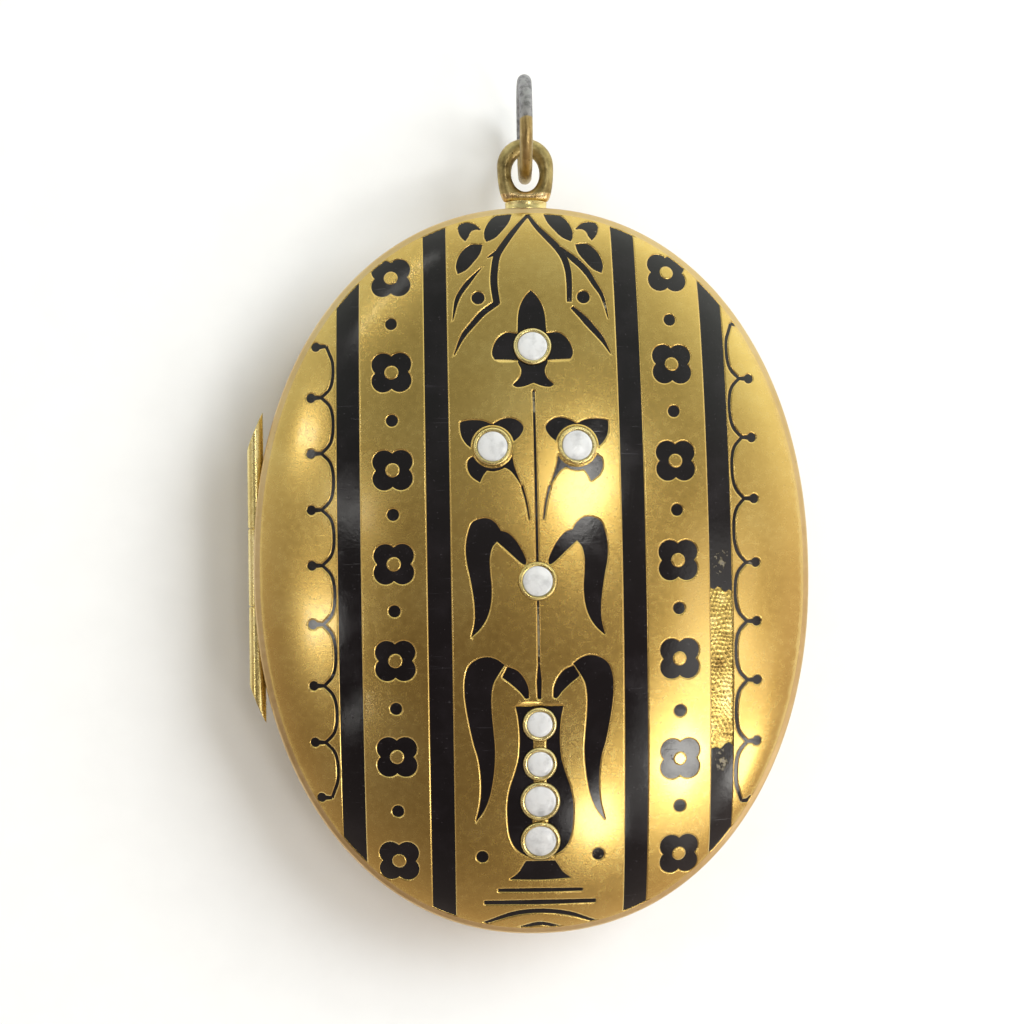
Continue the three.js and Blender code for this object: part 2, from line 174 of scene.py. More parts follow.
def outline(*strokes):
    """A closed outline. Each stroke is smooth, starts where the last one ended and ends in a corner."""
    out, last = [], strokes[-1][-1]
    for stroke in strokes:
        out += spline([last, *stroke])[1:]
        last = stroke[-1]
    return out


def both_sides(half):
    """Closes the right half of a symmetric outline, given from top to bottom, with its mirror image."""
    return list(half) + [(-x, y) for x, y in reversed(half) if abs(x) > 1e-6]


def turns_round(count):
    """Angles evenly round a circle."""
    return [2 * math.pi * i / count for i in range(count)]


def oval_loop(radius, count=EDGE_POINTS):
    return [oval_point(radius, turn) for turn in turns_round(count)]


def circle(x, y, radius, count=0):
    count = count or max(16, round(2 * math.pi * radius / LINE_STEP))
    return [(x + radius * math.cos(t), y + radius * math.sin(t)) for t in turns_round(count)]


def brush(points, widths):
    """The outline of a stroke along a smooth line, whose width runs evenly through the given widths."""
    line = np.array(spline(points))
    travel = np.concatenate([[0], np.cumsum(np.linalg.norm(np.diff(line, axis=0), axis=1))])
    stations = np.linspace(0, travel[-1], len(widths))
    half = np.interp(travel, stations, widths)[:, None] / 2
    ahead = np.gradient(line, axis=0)
    ahead /= np.linalg.norm(ahead, axis=1)[:, None]
    side = np.stack([-ahead[:, 1], ahead[:, 0]], 1)
    return [tuple(p) for p in np.concatenate([line + side * half, (line - side * half)[::-1]])]


def shifted(points, right):
    return [(x + right, y) for x, y in points]


def mirrored(points):
    return [(-x, y) for x, y in reversed(points)]


# ---------- mesh helpers ----------
def add_mesh(name, points, faces, materials, body, slot, replaces=(), face_materials=None, normals=None):
    """A smooth-shaded piece that rides on a body. Normals may be given, one for each point."""
    mesh = bpy.data.meshes.new(name)
    mesh.from_pydata([tuple(np.asarray(p, float) * MM) for p in points], [], [tuple(f) for f in faces])
    for material in materials if isinstance(materials, (list, tuple)) else [materials]:
        mesh.materials.append(material)
    if face_materials is not None:
        mesh.polygons.foreach_set("material_index", np.array(face_materials, np.int32))
    mesh.validate()
    mesh.shade_smooth()
    mesh.set_sharp_from_angle(angle=math.radians(SHARP_ANGLE))
    if normals is not None:
        corner_points = np.zeros(len(mesh.loops), np.int32)
        mesh.loops.foreach_get("vertex_index", corner_points)
        mesh.normals_split_custom_set(np.asarray(normals)[corner_points])
    piece = bpy.data.objects.new(name, mesh)
    bpy.context.scene.collection.objects.link(piece)
    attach(piece, body)
    if replaces:
        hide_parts(*replaces)
    return piece


def rings_to_faces(ring_count, ring_size, closed=False):
    """Quads between neighbouring rings of points, and from the last back to the first if closed."""
    faces = []
    for i in range(ring_count if closed else ring_count - 1):
        for j in range(ring_size):
            k = (j + 1) % ring_size
            a, b = i * ring_size, (i + 1) % ring_count * ring_size
            faces.append((a + j, a + k, b + k, b + j))
    return faces


def rounded(profile, radius, steps=3):
    """A closed or open profile with its corners rounded off by up to that radius."""
    p = [np.array(q, float) for q in profile]
    out = []
    for i in range(len(p)):
        here = p[i]
        start, end = (
            here + (other - here) * min(radius / max(np.linalg.norm(other - here), 1e-9), 0.45)
            for other in (p[i - 1], p[(i + 1) % len(p)])
        )
        for k in range(steps + 1):
            t = k / steps
            out.append((1 - t) ** 2 * start + 2 * t * (1 - t) * here + t * t * end)
    return out


def oval_ring_mesh(profile, count=EDGE_POINTS // 2):
    """Points and faces of a closed [radius, z] profile carried round the oval."""
    points = [(x, y, z) for radius, z in profile for x, y in oval_loop(radius, count)]
    return points, rings_to_faces(len(profile), count, closed=True)


def oval_plate_mesh(profile, count=EDGE_POINTS // 2):
    """Points and faces of an open [radius, z] profile carried round the oval and capped at both ends."""
    points, _ = oval_ring_mesh(profile, count)
    faces = rings_to_faces(len(profile), count)
    end = (len(profile) - 1) * count
    faces.append(tuple(reversed(range(count))))
    faces.append(tuple(range(end, end + count)))
    return points, faces


def turned_mesh(profile, axis_point, axis, side, count):
    """Points and faces of an open [radius, along] profile turned about an axis, capped where it meets it."""
    axis, side = np.array(axis, float), np.array(side, float)
    other = np.cross(axis, side)
    spokes = [math.cos(t) * side + math.sin(t) * other for t in turns_round(count)]
    start = np.array(axis_point)
    points = [start + radius * spoke + along * axis for radius, along in profile for spoke in spokes]
    return points, rings_to_faces(len(profile), count)


def mend(piece):
    """Welds doubled points and turns every face outwards."""
    bm = bmesh.new()
    bm.from_mesh(piece.data)
    bmesh.ops.remove_doubles(bm, verts=bm.verts, dist=WELD * MM)
    bmesh.ops.recalc_face_normals(bm, faces=bm.faces)
    bm.to_mesh(piece.data)
    bm.free()
    return piece


def add_fine(node, mesh, material, body, slot="gilt_metal", name=""):
    """A finer piece in place of one CAD node. The mesh is its points and faces."""
    mend(add_mesh(f"{name or node}_fine", *mesh, material, body, slot, [node]))


# ---------- node helpers ----------
class Tree:
    """A node tree round one shader, with a short way to add each kind of node used here."""

    def __init__(self, node_tree, shader):
        self.nodes = node_tree.nodes
        self.links = node_tree.links
        self.shader = shader

    def give(self, socket, value):
        """Gives an input the output of another node, or a number, vector or colour of its own."""
        if isinstance(value, bpy.types.NodeSocket):
            self.links.new(value, socket)
        else:
            socket.default_value = (*value, 1) if socket.type == "RGBA" else value

    def feed(self, name, value):
        """Gives the shader one of its inputs."""
        self.give(self.shader.inputs[name], value)

    def add(self, kind, **inputs):
        """A new node with some of its inputs given."""
        node = self.nodes.new("ShaderNode" + kind)
        for name, value in inputs.items():
            self.give(node.inputs[name], value)
        return node

    def place(self, scale=(1, 1, 1), turn=0.0):
        """Where a point is on its object, in metres times the scale, turned about Z in degrees."""
        where = self.add("TexCoord").outputs["Object"]
        turns = (0, 0, math.radians(turn))
        return self.add("Mapping", Scale=scale, Rotation=turns, Vector=where).outputs["Vector"]

    def noise(self, vector, scale, detail=4.0, roughness=0.55):
        """Noise with a feature size of about 1/scale millimetres."""
        node = self.add("TexNoise", Scale=scale / MM, Detail=detail, Roughness=roughness, Vector=vector)
        return node.outputs["Fac"]

    def ramp(self, value, *stops):
        """Maps a value through colour stops: (position, (r, g, b))."""
        node = self.add("ValToRGB", Fac=value)
        elements = node.color_ramp.elements
        while len(elements) < len(stops):
            elements.new(0.5)
        for element, (position, colour) in zip(elements, stops):
            element.position = position
            element.color = (*colour, 1)
        return node.outputs["Color"]

    def span(self, value, from_low, from_high, to_low=0.0, to_high=1.0):
        """Maps one range of values onto another, and holds it there."""
        node = self.add("MapRange", Value=value)
        for socket, number in zip(node.inputs[1:5], (from_low, from_high, to_low, to_high)):
            socket.default_value = number
        return node.outputs["Result"]

    def maths(self, operation, a, b):
        node = self.add("Math")
        node.operation = operation
        self.give(node.inputs[0], a)
        self.give(node.inputs[1], b)
        return node.outputs["Value"]

    def plus(self, a, b):
        return self.maths("ADD", a, b)

    def minus(self, a, b):
        return self.maths("SUBTRACT", a, b)

    def times(self, a, b):
        return self.maths("MULTIPLY", a, b)

    def larger(self, a, b):
        return self.maths("MAXIMUM", a, b)

    def mix(self, share, a, b, data_type="RGBA"):
        """Blends two colours, or two numbers if the data type is FLOAT, by a share from 0 to 1."""
        node = self.add("Mix")
        node.data_type = data_type
        for name, value in (("Factor", share), ("A", a), ("B", b)):
            self.give(node.inputs[name], value)
        return node.outputs["Result"]

    def bump(self, height, distance):
        """Raises the surface by up to a distance in millimetres."""
        node = self.add("Bump", Strength=1.0, Distance=distance * MM, Height=height)
        self.feed("Normal", node.outputs["Normal"])

    def hairlines(self, *turns):
        """Sparse short scratches, 1 on a line and 0 off it, that run in the given directions in degrees."""
        total = None
        for turn in turns:
            lines = self.noise(self.place((0.3, 8, 0.3), turn), 1.0, 2.0, 0.4)
            patches = self.noise(self.place(), 0.35, 2.0, 0.5)
            shown = self.span(patches, 0.48, 0.6)
            scratch = self.times(self.span(lines, 0.7, 0.76), shown)
            total = scratch if total is None else self.larger(total, scratch)
        return total


def new_material(name):
    """A material with a Principled shader and nothing else, and its tree."""
    material = bpy.data.materials.new(name)
    material.use_nodes = True
    nodes = material.node_tree.nodes
    nodes.clear()
    output = nodes.new("ShaderNodeOutputMaterial")
    shader = nodes.new("ShaderNodeBsdfPrincipled")
    material.node_tree.links.new(shader.outputs["BSDF"], output.inputs["Surface"])
    return material, Tree(material.node_tree, shader)


def tone_ramp(tree, value, tones, first=0.3, last=0.7):
    """Maps a value through tones at even places between the first and the last."""
    places = np.linspace(first, last, len(tones))
    return tree.ramp(value, *zip(places.tolist(), tones))


# ---------- materials ----------
def gold_material(name, tones, roughness=(0.28, 0.42), grain=0.005, grime=0.35, cloud_scale=0.16, coat=0.0):
    """Old worn gold: cloudy tones, fine scratches, tiny pits and uneven polish."""
    material, tree = new_material(name)
    flat = tree.place()
    clouds = tree.noise(flat, cloud_scale, 4.0, 0.55)
    mottle = tree.noise(flat, 2.6, 4.0, 0.6)
    tone = tree.plus(tree.times(clouds, 0.75), tree.times(mottle, 0.25))
    dark, _, light = tones
    colour = tone_ramp(tree, tone, tones)
    hairlines = tree.hairlines(28, -61, 83)
    colour = tree.mix(tree.times(hairlines, 0.3), colour, light)
    specks = tree.span(tree.noise(flat, 4.0, 1.0, 0.5), 0.2, 0.26, 1, 0)
    dirt = tuple(0.35 * c for c in dark)
    colour = tree.mix(tree.times(specks, grime), colour, dirt)
    tree.feed("Base Color", colour)
    tree.feed("Metallic", 1)
    tree.feed("Roughness", tree.span(mottle, 0.3, 0.7, *roughness))
    height = tree.times(tree.noise(tree.place((0.3, 1, 1)), 7.0, 2.0, 0.5), 0.6)
    height = tree.minus(height, tree.times(specks, 0.5))
    height = tree.minus(height, tree.times(hairlines, 0.4))
    tree.bump(height, grain)
    tree.feed("Coat Weight", coat)
    tree.feed("Coat Roughness", 0.12)
    return material


def enamel_material():
    """Black glassy enamel with faint scratches and dust, flaked off where the wear attribute is high. At two
    spots that flaked tone is a painted grey sheen.
    """
    material, tree = new_material("enamel_black")
    flat = tree.place()
    wear_and_sheen = tree.add("Attribute")
    wear_and_sheen.attribute_name = "wear_and_sheen"
    flakes = tree.noise(flat, 3.2, 5.0, 0.7)
    lost_and_sheen = tree.span(tree.plus(flakes, wear_and_sheen.outputs["Fac"]), 0.98, 1.04)
    haze = tree.span(tree.noise(flat, 0.5, 4.0, 0.6), 0.45, 0.75)
    dust = tree.span(tree.noise(flat, 6.0, 2.0, 0.5), 0.68, 0.76)
    hairlines = tree.hairlines(72, -34)
    black = tree.mix(haze, (0.004, 0.003, 0.004), (0.009, 0.007, 0.009))
    black = tree.mix(tree.times(dust, 0.25), black, (0.11, 0.10, 0.11))
    black = tree.mix(tree.times(hairlines, 0.12), black, (0.14, 0.13, 0.15))
    # Where the enamel has flaked this shows the gold under it, and at two spots a painted grey sheen.
    stain_and_sheen = tone_ramp(tree, flakes, ((0.10, 0.08, 0.05), (0.30, 0.26, 0.17), (0.16, 0.15, 0.14)), 0.4)
    tree.feed("Base Color", tree.mix(lost_and_sheen, black, stain_and_sheen))
    tree.feed("Metallic", tree.times(lost_and_sheen, 0.55))
    polish = tree.span(haze, 0, 1, 0.08, 0.2)
    tree.feed("Roughness", tree.plus(polish, tree.times(lost_and_sheen, 0.35)))
    height = tree.minus(tree.times(flakes, 0.25), lost_and_sheen)
    tree.bump(tree.minus(height, tree.times(hairlines, 0.1)), 0.02)
    return material


def pearl_material():
    """Flat white pearl with faint grey clouds and growth lines."""
    material, tree = new_material("pearl_white")
    flat = tree.place()
    clouds = tree.noise(flat, 0.9, 4.0, 0.6)
    lines = tree.add("TexWave", Scale=0.5 / MM, Distortion=7, Detail=3, Vector=flat)
    tone = tree.plus(tree.times(clouds, 0.92), tree.times(lines.outputs["Fac"], 0.08))
    greys = [(position, (grey,) * 3) for position, grey in ((0.3, 0.40), (0.42, 0.57), (0.55, 0.65))]
    tree.feed("Base Color", tree.ramp(tone, *greys))
    tree.feed("Roughness", tree.span(clouds, 0.3, 0.7, 0.18, 0.4))
    tree.feed("Subsurface Weight", 0.25)
    tree.feed("Subsurface Radius", (0.4 * MM, 0.35 * MM, 0.3 * MM))
    tree.feed("Coat Weight", 0.3)
    tree.bump(tone, 0.01)
    return material


def paper_material():
    """Blank card, a little yellowed and foxed."""
    material, tree = new_material("paper_blank")
    flat = tree.place()
    ageing = tree.noise(flat, 0.12, 5.0, 0.6)
    fibres = tree.noise(tree.place((1, 0.35, 1), 20), 5.0, 4.0, 0.7)
    foxing = tree.span(tree.noise(flat, 0.7, 3.0, 0.5), 0.66, 0.8, 0, 0.5)
    colour = tone_ramp(tree, ageing, ((0.60, 0.52, 0.38), (0.78, 0.72, 0.58)), 0.35, 0.6)
    tree.feed("Base Color", tree.mix(foxing, colour, (0.36, 0.24, 0.12)))
    tree.feed("Roughness", tree.span(fibres, 0.3, 0.7, 0.75, 0.95))
    tree.bump(fibres, 0.02)
    return material


def glass_material():
    """Thin clear cover glass with faint smears."""
    material, tree = new_material("glass_clear")
    smears = tree.noise(tree.place((1, 0.3, 1), 35), 0.35, 4.0, 0.6)
    tree.feed("Base Color", tone_ramp(tree, smears, ((0.94, 0.96, 0.95), (0.88, 0.91, 0.90))))
    tree.feed("Roughness", tree.span(smears, 0.4, 0.7, 0.02, 0.12))
    tree.feed("Transmission Weight", 0.9)
    tree.feed("Alpha", 0.45)
    tree.feed("IOR", 1.3)
    return material


def floor_material():
    """Plain white paper with a faint unevenness."""
    material, tree = new_material("floor_paper")
    grain = tree.noise(tree.place(), 0.4, 3.0, 0.5)
    tree.feed("Base Color", tone_ramp(tree, grain, ((0.88,) * 3, (0.90,) * 3)))
    tree.feed("Roughness", 0.8)
    return material


# Tones run from the darkest to the lightest.
FRONT_TONES = ((0.57, 0.375, 0.09), (0.67, 0.46, 0.125), (0.76, 0.56, 0.18))
RIM_TONES = ((0.56, 0.39, 0.18), (0.66, 0.48, 0.24), (0.74, 0.58, 0.33))
BACK_TONES = ((0.50, 0.33, 0.10), (0.63, 0.44, 0.15), (0.73, 0.55, 0.24))
INNER_TONES = ((0.52, 0.36, 0.13), (0.62, 0.45, 0.18), (0.70, 0.53, 0.25))
# The highlight gold is the same gold made lighter: a painted highlight on the collets, hinge knuckles,
# bezels and bail collar.
HIGHLIGHT_TONES = ((0.66, 0.51, 0.18), (0.82, 0.67, 0.28), (0.90, 0.78, 0.42))
# The recess gold is the same gold darkened: painted shade on the walls and floors of the recesses and in the
# seats under the pearls.
RECESS_SHADE_TONES = ((0.10, 0.06, 0.02), (0.24, 0.16, 0.05), (0.46, 0.33, 0.13))
GROUND_TONES = ((0.22, 0.14, 0.04), (0.58, 0.43, 0.13), (0.84, 0.69, 0.30))
BAIL_TONES = ((0.09, 0.06, 0.025), (0.40, 0.31, 0.13), (0.74, 0.61, 0.29))
# The foot tones are a painted highlight on the foot of the bail loop.
FOOT_HIGHLIGHT_TONES = ((0.62, 0.42, 0.16), (0.86, 0.66, 0.36))
RING_TONES = ((0.22, 0.15, 0.06), (0.42, 0.31, 0.13), (0.68, 0.54, 0.30))
SOLDER_TONES = ((0.20, 0.20, 0.21), (0.46, 0.46, 0.48))
FRONT_GOLD = gold_material("gold_engraved", FRONT_TONES, (0.23, 0.29), 0.003, 0.25, coat=0.7)
RIM_GOLD = gold_material("gold_rim", RIM_TONES, (0.32, 0.46))
BACK_GOLD = gold_material("gold_back", BACK_TONES, (0.24, 0.4))
INNER_GOLD = gold_material("gold_inner", INNER_TONES, (0.32, 0.5))
HIGHLIGHT_GOLD = gold_material("gold_painted_highlight", HIGHLIGHT_TONES, (0.2, 0.34))
RECESS_SHADE_GOLD = gold_material("gold_recess_painted_shade", RECESS_SHADE_TONES, (0.4, 0.6), 0.02)
GROUND_GOLD = gold_material("gold_ground", GROUND_TONES, (0.2, 0.32), 0.02, 0.8, 0.9)
BAIL_METAL = gold_material("bail_grimy", BAIL_TONES, (0.28, 0.45), 0.02, 0.9, 0.8)
ENAMEL = enamel_material()
PEARL = pearl_material()
PAPER = paper_material()
GLASS = glass_material()

# ---------- motifs ----------
# Each motif is (piece name, outline), and the outlines of one piece may overlap.
# Islands are gold left standing inside them.
motifs = []
islands = []


def add_motif(piece, points):
    motifs.append((piece, points))


def add_pair(piece, points):
    """One motif on the right and its mirror image on the left."""
    add_motif(piece, points)
    add_motif(piece, mirrored(points))


# Stripes: straight bands right across the dome. The right outer one has lost its middle.
STRIPES = [f"enamel_stripe_{side}_{row}" for side in ("left", "right") for row in ("inner", "outer")]
# Each end of the loss is a share of the stripe's width from its left edge, and a height.
LOSS_TOP = [(0, -1.35), (0.18, -1.5), (0.36, -1.3), (0.5, -1.42), (0.68, -1.66), (0.88, -1.5), (1, -1.62)]
LOSS_BOTTOM = -11.0
LOSS_END = [(1, -0.12), (0.8, 0.1), (0.62, -0.05), (0.45, -0.3), (0.25, -0.2), (0, -0.28)]
stripe_edges = {}
for stripe in STRIPES:
    low, high, _ = box_mm(stripe)
    stripe_edges[stripe] = (low[0], high[0])
    left, right, reach = low[0], high[0], HALF_HEIGHT
    add_motif(stripe, outline([(left, reach)], [(right, reach)], [(right, -reach)], [(left, -reach)]))

# Quatrefoils with a gold eye, and the dots between them.
LEAF_SPREAD = 0.51  # of each leaf's middle from the flower's middle, along X and along Y
LEAF_RADIUS = 0.71
FLOWER_MIDDLE = 1.85 * LEAF_SPREAD  # radius of the disc that joins the leaves
EYE_RADIUS = 0.43
DOT_RADIUS = 0.37
FLOWER_X = 8.6
FLOWER_YS = {
    "left": (18.1, 12.05, 6.05, 0.38, -5.43, -11.25, -17.75),
    "right": (18.3, 12.38, 6.38, 0.33, -5.63, -11.75, -17.75),
}
SEED_YS = {
    "left": (15.1, 9.07, 3.35, -2.45, -8.32, -14.6),
    "right": (15.2, 9.43, 3.38, -2.58, -8.8, -14.7),
}
for side, sign in (("left", -1), ("right", 1)):
    for y in FLOWER_YS[side]:
        x = sign * FLOWER_X
        for leaf_x in (-LEAF_SPREAD, LEAF_SPREAD):
            for leaf_y in (-LEAF_SPREAD, LEAF_SPREAD):
                add_motif(f"enamel_flowers_{side}", circle(x + leaf_x, y + leaf_y, LEAF_RADIUS))
        add_motif(f"enamel_flowers_{side}", circle(x, y, FLOWER_MIDDLE))
        islands.append(circle(x, y, EYE_RADIUS))
    for y in SEED_YS[side]:
        add_motif(f"enamel_seeds_{side}", circle(sign * FLOWER_X, y, DOT_RADIUS))

# Scallops along the outer sides: an arc from each knob to the next, and a short stalk with a round end.
SCALLOP_LINE = 0.2
STALK_LINE = 0.34  # where it meets the knob
KNOB_X = 13.6
STALK_X = 12.95
ARC_X = 12.25
END_INWARD = 0.3  # how far the first and the last knob are nearer the middle
KNOB_RADIUS = 0.3
KNOB_YS = {
    "left": (13.9, 10.67, 7.2, 3.75, 0.37, -3.2, -6.93, -10.4, -13.85),
    "right": (15.1, 11.57, 7.85, 4.05, 0.12, -3.5, -7.12, -10.93, -14.7),
}
for side, sign in (("left", -1), ("right", 1)):
    piece = f"enamel_scallops_{side}"
    knobs = KNOB_YS[side]
    inward = [END_INWARD, *[0] * (len(knobs) - 2), END_INWARD]
    for y, nearer in zip(knobs, inward):
        add_motif(piece, circle(sign * (KNOB_X - nearer), y, KNOB_RADIUS))
        stalk = [(sign * (KNOB_X - nearer), y), (sign * (STALK_X - nearer), y)]
        add_motif(piece, brush(stalk, [STALK_LINE, SCALLOP_LINE]))
    for i, (above, below) in enumerate(zip(knobs, knobs[1:])):
        middle, half = (above + below) / 2, (above - below) / 2
        start, end = STALK_X - inward[i], STALK_X - inward[i + 1]
        arc = [(start, above), (ARC_X + 0.2, above - 0.3 * half), (ARC_X, middle + 0.35 * half)]
        arc += [(ARC_X, middle - 0.35 * half), (ARC_X + 0.2, below + 0.3 * half), (end, below)]
        add_motif(piece, brush([(sign * x, y) for x, y in arc], [SCALLOP_LINE, SCALLOP_LINE]))

# Pointed arch at the top: strokes of (points, widths). Its two sides were drawn by hand and differ.
ARCH = [
    ([(0, 22.1), (-0.75, 21.2), (-1.45, 20.25), (-2.0, 19.35), (-2.2, 18.3), (-2.24, 17.5), (-2.1, 16.2)],
     [0.2, 0.34, 0.42, 0.45, 0.42]),
    ([(-1.9, 19.6), (-2.62, 19.22)], [0.36, 0.05]),
    ([(-2.05, 16.3), (-2.95, 15.65), (-3.55, 15.0), (-4.2, 14.2), (-4.78, 13.0)], [0.36, 0.36, 0.3, 0.04]),
    ([(-3.0, 18.55), (-3.5, 18.0), (-4.0, 17.4), (-4.5, 16.6), (-4.82, 15.2)], [0.05, 0.3, 0.26, 0.04]),
    ([(0, 22.1), (0.5, 21.3), (1.1, 20.6), (1.75, 19.85), (2.15, 19.15), (2.35, 18.4), (2.4, 17.6),
      (2.36, 16.3)],
     [0.2, 0.32, 0.42, 0.4, 0.36, 0.3]),
    ([(1.9, 19.85), (2.5, 19.3), (3.1, 18.75), (3.55, 18.2), (3.95, 17.5), (4.4, 16.7), (4.75, 15.2)],
     [0.2, 0.4, 0.38, 0.3, 0.18, 0.04]),
    ([(2.5, 15.95), (3.1, 15.35), (3.7, 14.65), (4.3, 13.9), (4.8, 13.0)], [0.2, 0.4, 0.32, 0.04]),
]
for points, widths in ARCH:
    add_motif("enamel_arch", brush(points, widths))

# A sprig of three leaves round a gold berry in each top corner, and a dot under it.
BERRY = (3.23, 20.65, 0.48)  # x, y and radius
add_pair("enamel_sprigs", outline(
    [(1.5, 22.25), (2.1, 22.0), (2.45, 21.65), (2.72, 21.1), (2.77, 20.6), (2.62, 20.28)],
    [(2.1, 20.53), (1.6, 21.05), (1.2, 21.6), (0.95, 22.3)],
))
add_pair("enamel_sprigs", outline(
    [(3.35, 21.5), (3.85, 21.63), (4.3, 21.5), (4.4, 21.25)],
    [(4.27, 20.75), (3.95, 20.35)],
    [(3.5, 20.9), (2.95, 21.12)],
))
add_pair("enamel_sprigs", outline(
    [(3.6, 20.1), (4.05, 19.8), (4.42, 19.25), (4.56, 18.6), (4.45, 18.18)],
    [(3.95, 18.42), (3.45, 18.95), (3.05, 19.5), (2.88, 20.08)],
))
for sign in (-1, 1):
    islands.append(circle(sign * BERRY[0], *BERRY[1:]))
add_pair("enamel_sprigs", circle(3.24, 16.6, 0.4))

# Fleur round the top pearl.
top_petal = spline([(0, 17.05), (0.33, 16.7), (0.62, 16.2), (0.8, 15.6), (0.88, 14.5)])
bottom_petal = spline([(0.9, 12.5), (0.72, 12.05), (0.8, 11.6), (1.26, 11.1)])
bottom_edge = spline([(1.26, 11.1), (1.05, 10.97), (0.6, 11.0), (0, 11.22)])
add_motif("enamel_fleur", both_sides([*top_petal, *bottom_petal, *bottom_edge[1:]]))
side_petal = spline([(0.9, 14.3), (1.6, 14.35), (2.1, 14.0), (2.38, 13.5), (2.46, 13.0), (2.32, 12.7)])
add_motif("enamel_fleur", both_sides([*side_petal, (0.9, 12.65)]))

# Two pansies: a pair of petals above each pearl, a lobe and a taper below it.
add_pair("enamel_pansies", outline(
    [(3.1, 8.93), (3.65, 8.99), (4.2, 8.95), (4.47, 8.87)],
    [(4.5, 8.62), (4.41, 8.0), (4.1, 7.5), (3.78, 7.25)],
    [(2.56, 7.1), (1.3, 7.62)],
    [(0.9, 7.97), (0.66, 8.47), (0.97, 8.9), (1.5, 9.08), (2.05, 8.97), (2.55, 8.7)],
))
add_pair("enamel_pansies", outline(
    [(4.02, 6.58), (4.09, 6.1), (3.88, 5.6), (3.35, 5.18)],
    [(3.15, 5.6), (2.75, 6.1)],
    [(2.7, 6.7), (3.6, 6.85)],
))
add_pair("enamel_pansies", outline(
    [(1.5, 5.85), (1.15, 5.4), (0.83, 4.88)],
    [(1.05, 5.5), (1.28, 6.2), (1.39, 6.85)],
    [(2.0, 6.9), (2.0, 6.15)],
))

# Stems down the middle.
add_motif("enamel_stems", brush([(0, 10.75), (0, 0.3)], [0.15, 0.15]))
add_motif("enamel_stems", brush([(0, -1.9), (0, -5.9)], [0.12, 0.12]))
add_motif("enamel_stems", brush([(0, -5.6), (0, -6.8), (0, -7.85)], [0.08, 0.3, 0.22]))
add_pair("enamel_stems", brush([(0.84, 4.95), (0.58, 3.9), (0.43, 2.9)], [0.13, 0.09]))

# Long curled leaves beside the middle pearl and beside the vase.
UPPER_LEAF = outline(
    [(2.75, 2.97), (3.2, 3.05), (3.85, 2.8), (4.14, 2.1), (4.27, 1.3), (4.22, 0.4), (4.05, -0.45),
     (3.9, -1.35), (3.8, -2.3), (3.82, -3.2), (4.03, -4.08)],
    [(3.5, -3.6), (3.1, -3.0), (2.84, -2.2), (2.76, -1.2), (2.83, -0.15), (2.83, 0.7), (2.67, 1.3),
     (2.4, 1.62)],
    [(1.8, 1.08), (1.35, 0.65), (0.95, 0.3), (0.72, 0.2), (0.66, 0.45), (0.95, 1.15), (1.3, 1.72),
     (1.75, 2.15), (2.15, 2.28)],
    [(2.4, 2.7)],
)
LOWER_LEAF = outline(
    [(2.55, -5.4), (3.1, -5.26), (3.7, -5.4), (4.2, -5.8), (4.44, -6.5), (4.48, -7.4), (4.38, -8.4),
     (4.0, -10.4), (3.72, -11.4), (3.59, -12.4), (3.57, -13.3), (3.65, -14.2), (3.92, -15.32)],
    [(3.4, -14.6), (3.07, -13.8), (2.87, -12.9), (2.74, -11.9), (2.7, -10.8), (2.86, -8.7),
     (2.88, -7.7), (2.75, -6.9), (2.42, -6.3), (2.05, -5.75)],
)
LOWER_CURL = outline(
    [(0.66, -7.15), (0.92, -6.55), (1.32, -6.1), (1.88, -5.86)],
    [(2.22, -6.5)],
    [(1.65, -6.95), (1.15, -7.42), (0.8, -7.82), (0.62, -7.76)],
)
add_pair("enamel_leaves_upper", UPPER_LEAF)
add_pair("enamel_leaves_lower", LOWER_LEAF)
add_motif("enamel_leaves_lower", mirrored(LOWER_CURL))
add_motif("enamel_leaves_lower", shifted(LOWER_CURL, 0.22))

# Vase with four pearls, its foot and the lines under it.
vase_side = spline([(1.44, -8.28), (1.3, -8.9), (1.22, -9.7), (1.21, -10.6), (1.3, -11.5), (1.55, -12.4),
                    (1.82, -13.2), (1.98, -14.1), (2.0, -15.0), (1.84, -16.3), (1.45, -17.05), (0.7, -17.52),
                    (0, -17.64)])
add_motif("enamel_vase", both_sides(vase_side))
add_motif("enamel_base", outline(
    [(0.9, -17.8)],
    [(1.1, -18.12), (1.38, -18.55), (1.88, -18.95)],
    [(0, -19.02), (-1.88, -18.95)],
    [(-1.38, -18.55), (-1.1, -18.12), (-0.9, -17.8)],
))
BASE_LINES = [
    ([(-2.6, -19.65), (2.6, -19.72)], [0.2, 0.25, 0.2]),
    ([(-3.45, -20.45), (3.42, -20.5)], [0.24, 0.3, 0.24]),
    ([(-3.5, -21.85), (-1.6, -21.2), (0, -21.06), (1.8, -21.3), (3.4, -21.9)],
     [0.16, 0.27, 0.28, 0.27, 0.16]),
    ([(-1.6, -22.3), (0, -21.93), (1.5, -22.3)], [0.16, 0.24, 0.16]),
]
for points, widths in BASE_LINES:
    add_motif("enamel_base", brush(points, widths))
add_pair("enamel_base", circle(3.53, -17.48, 0.37))

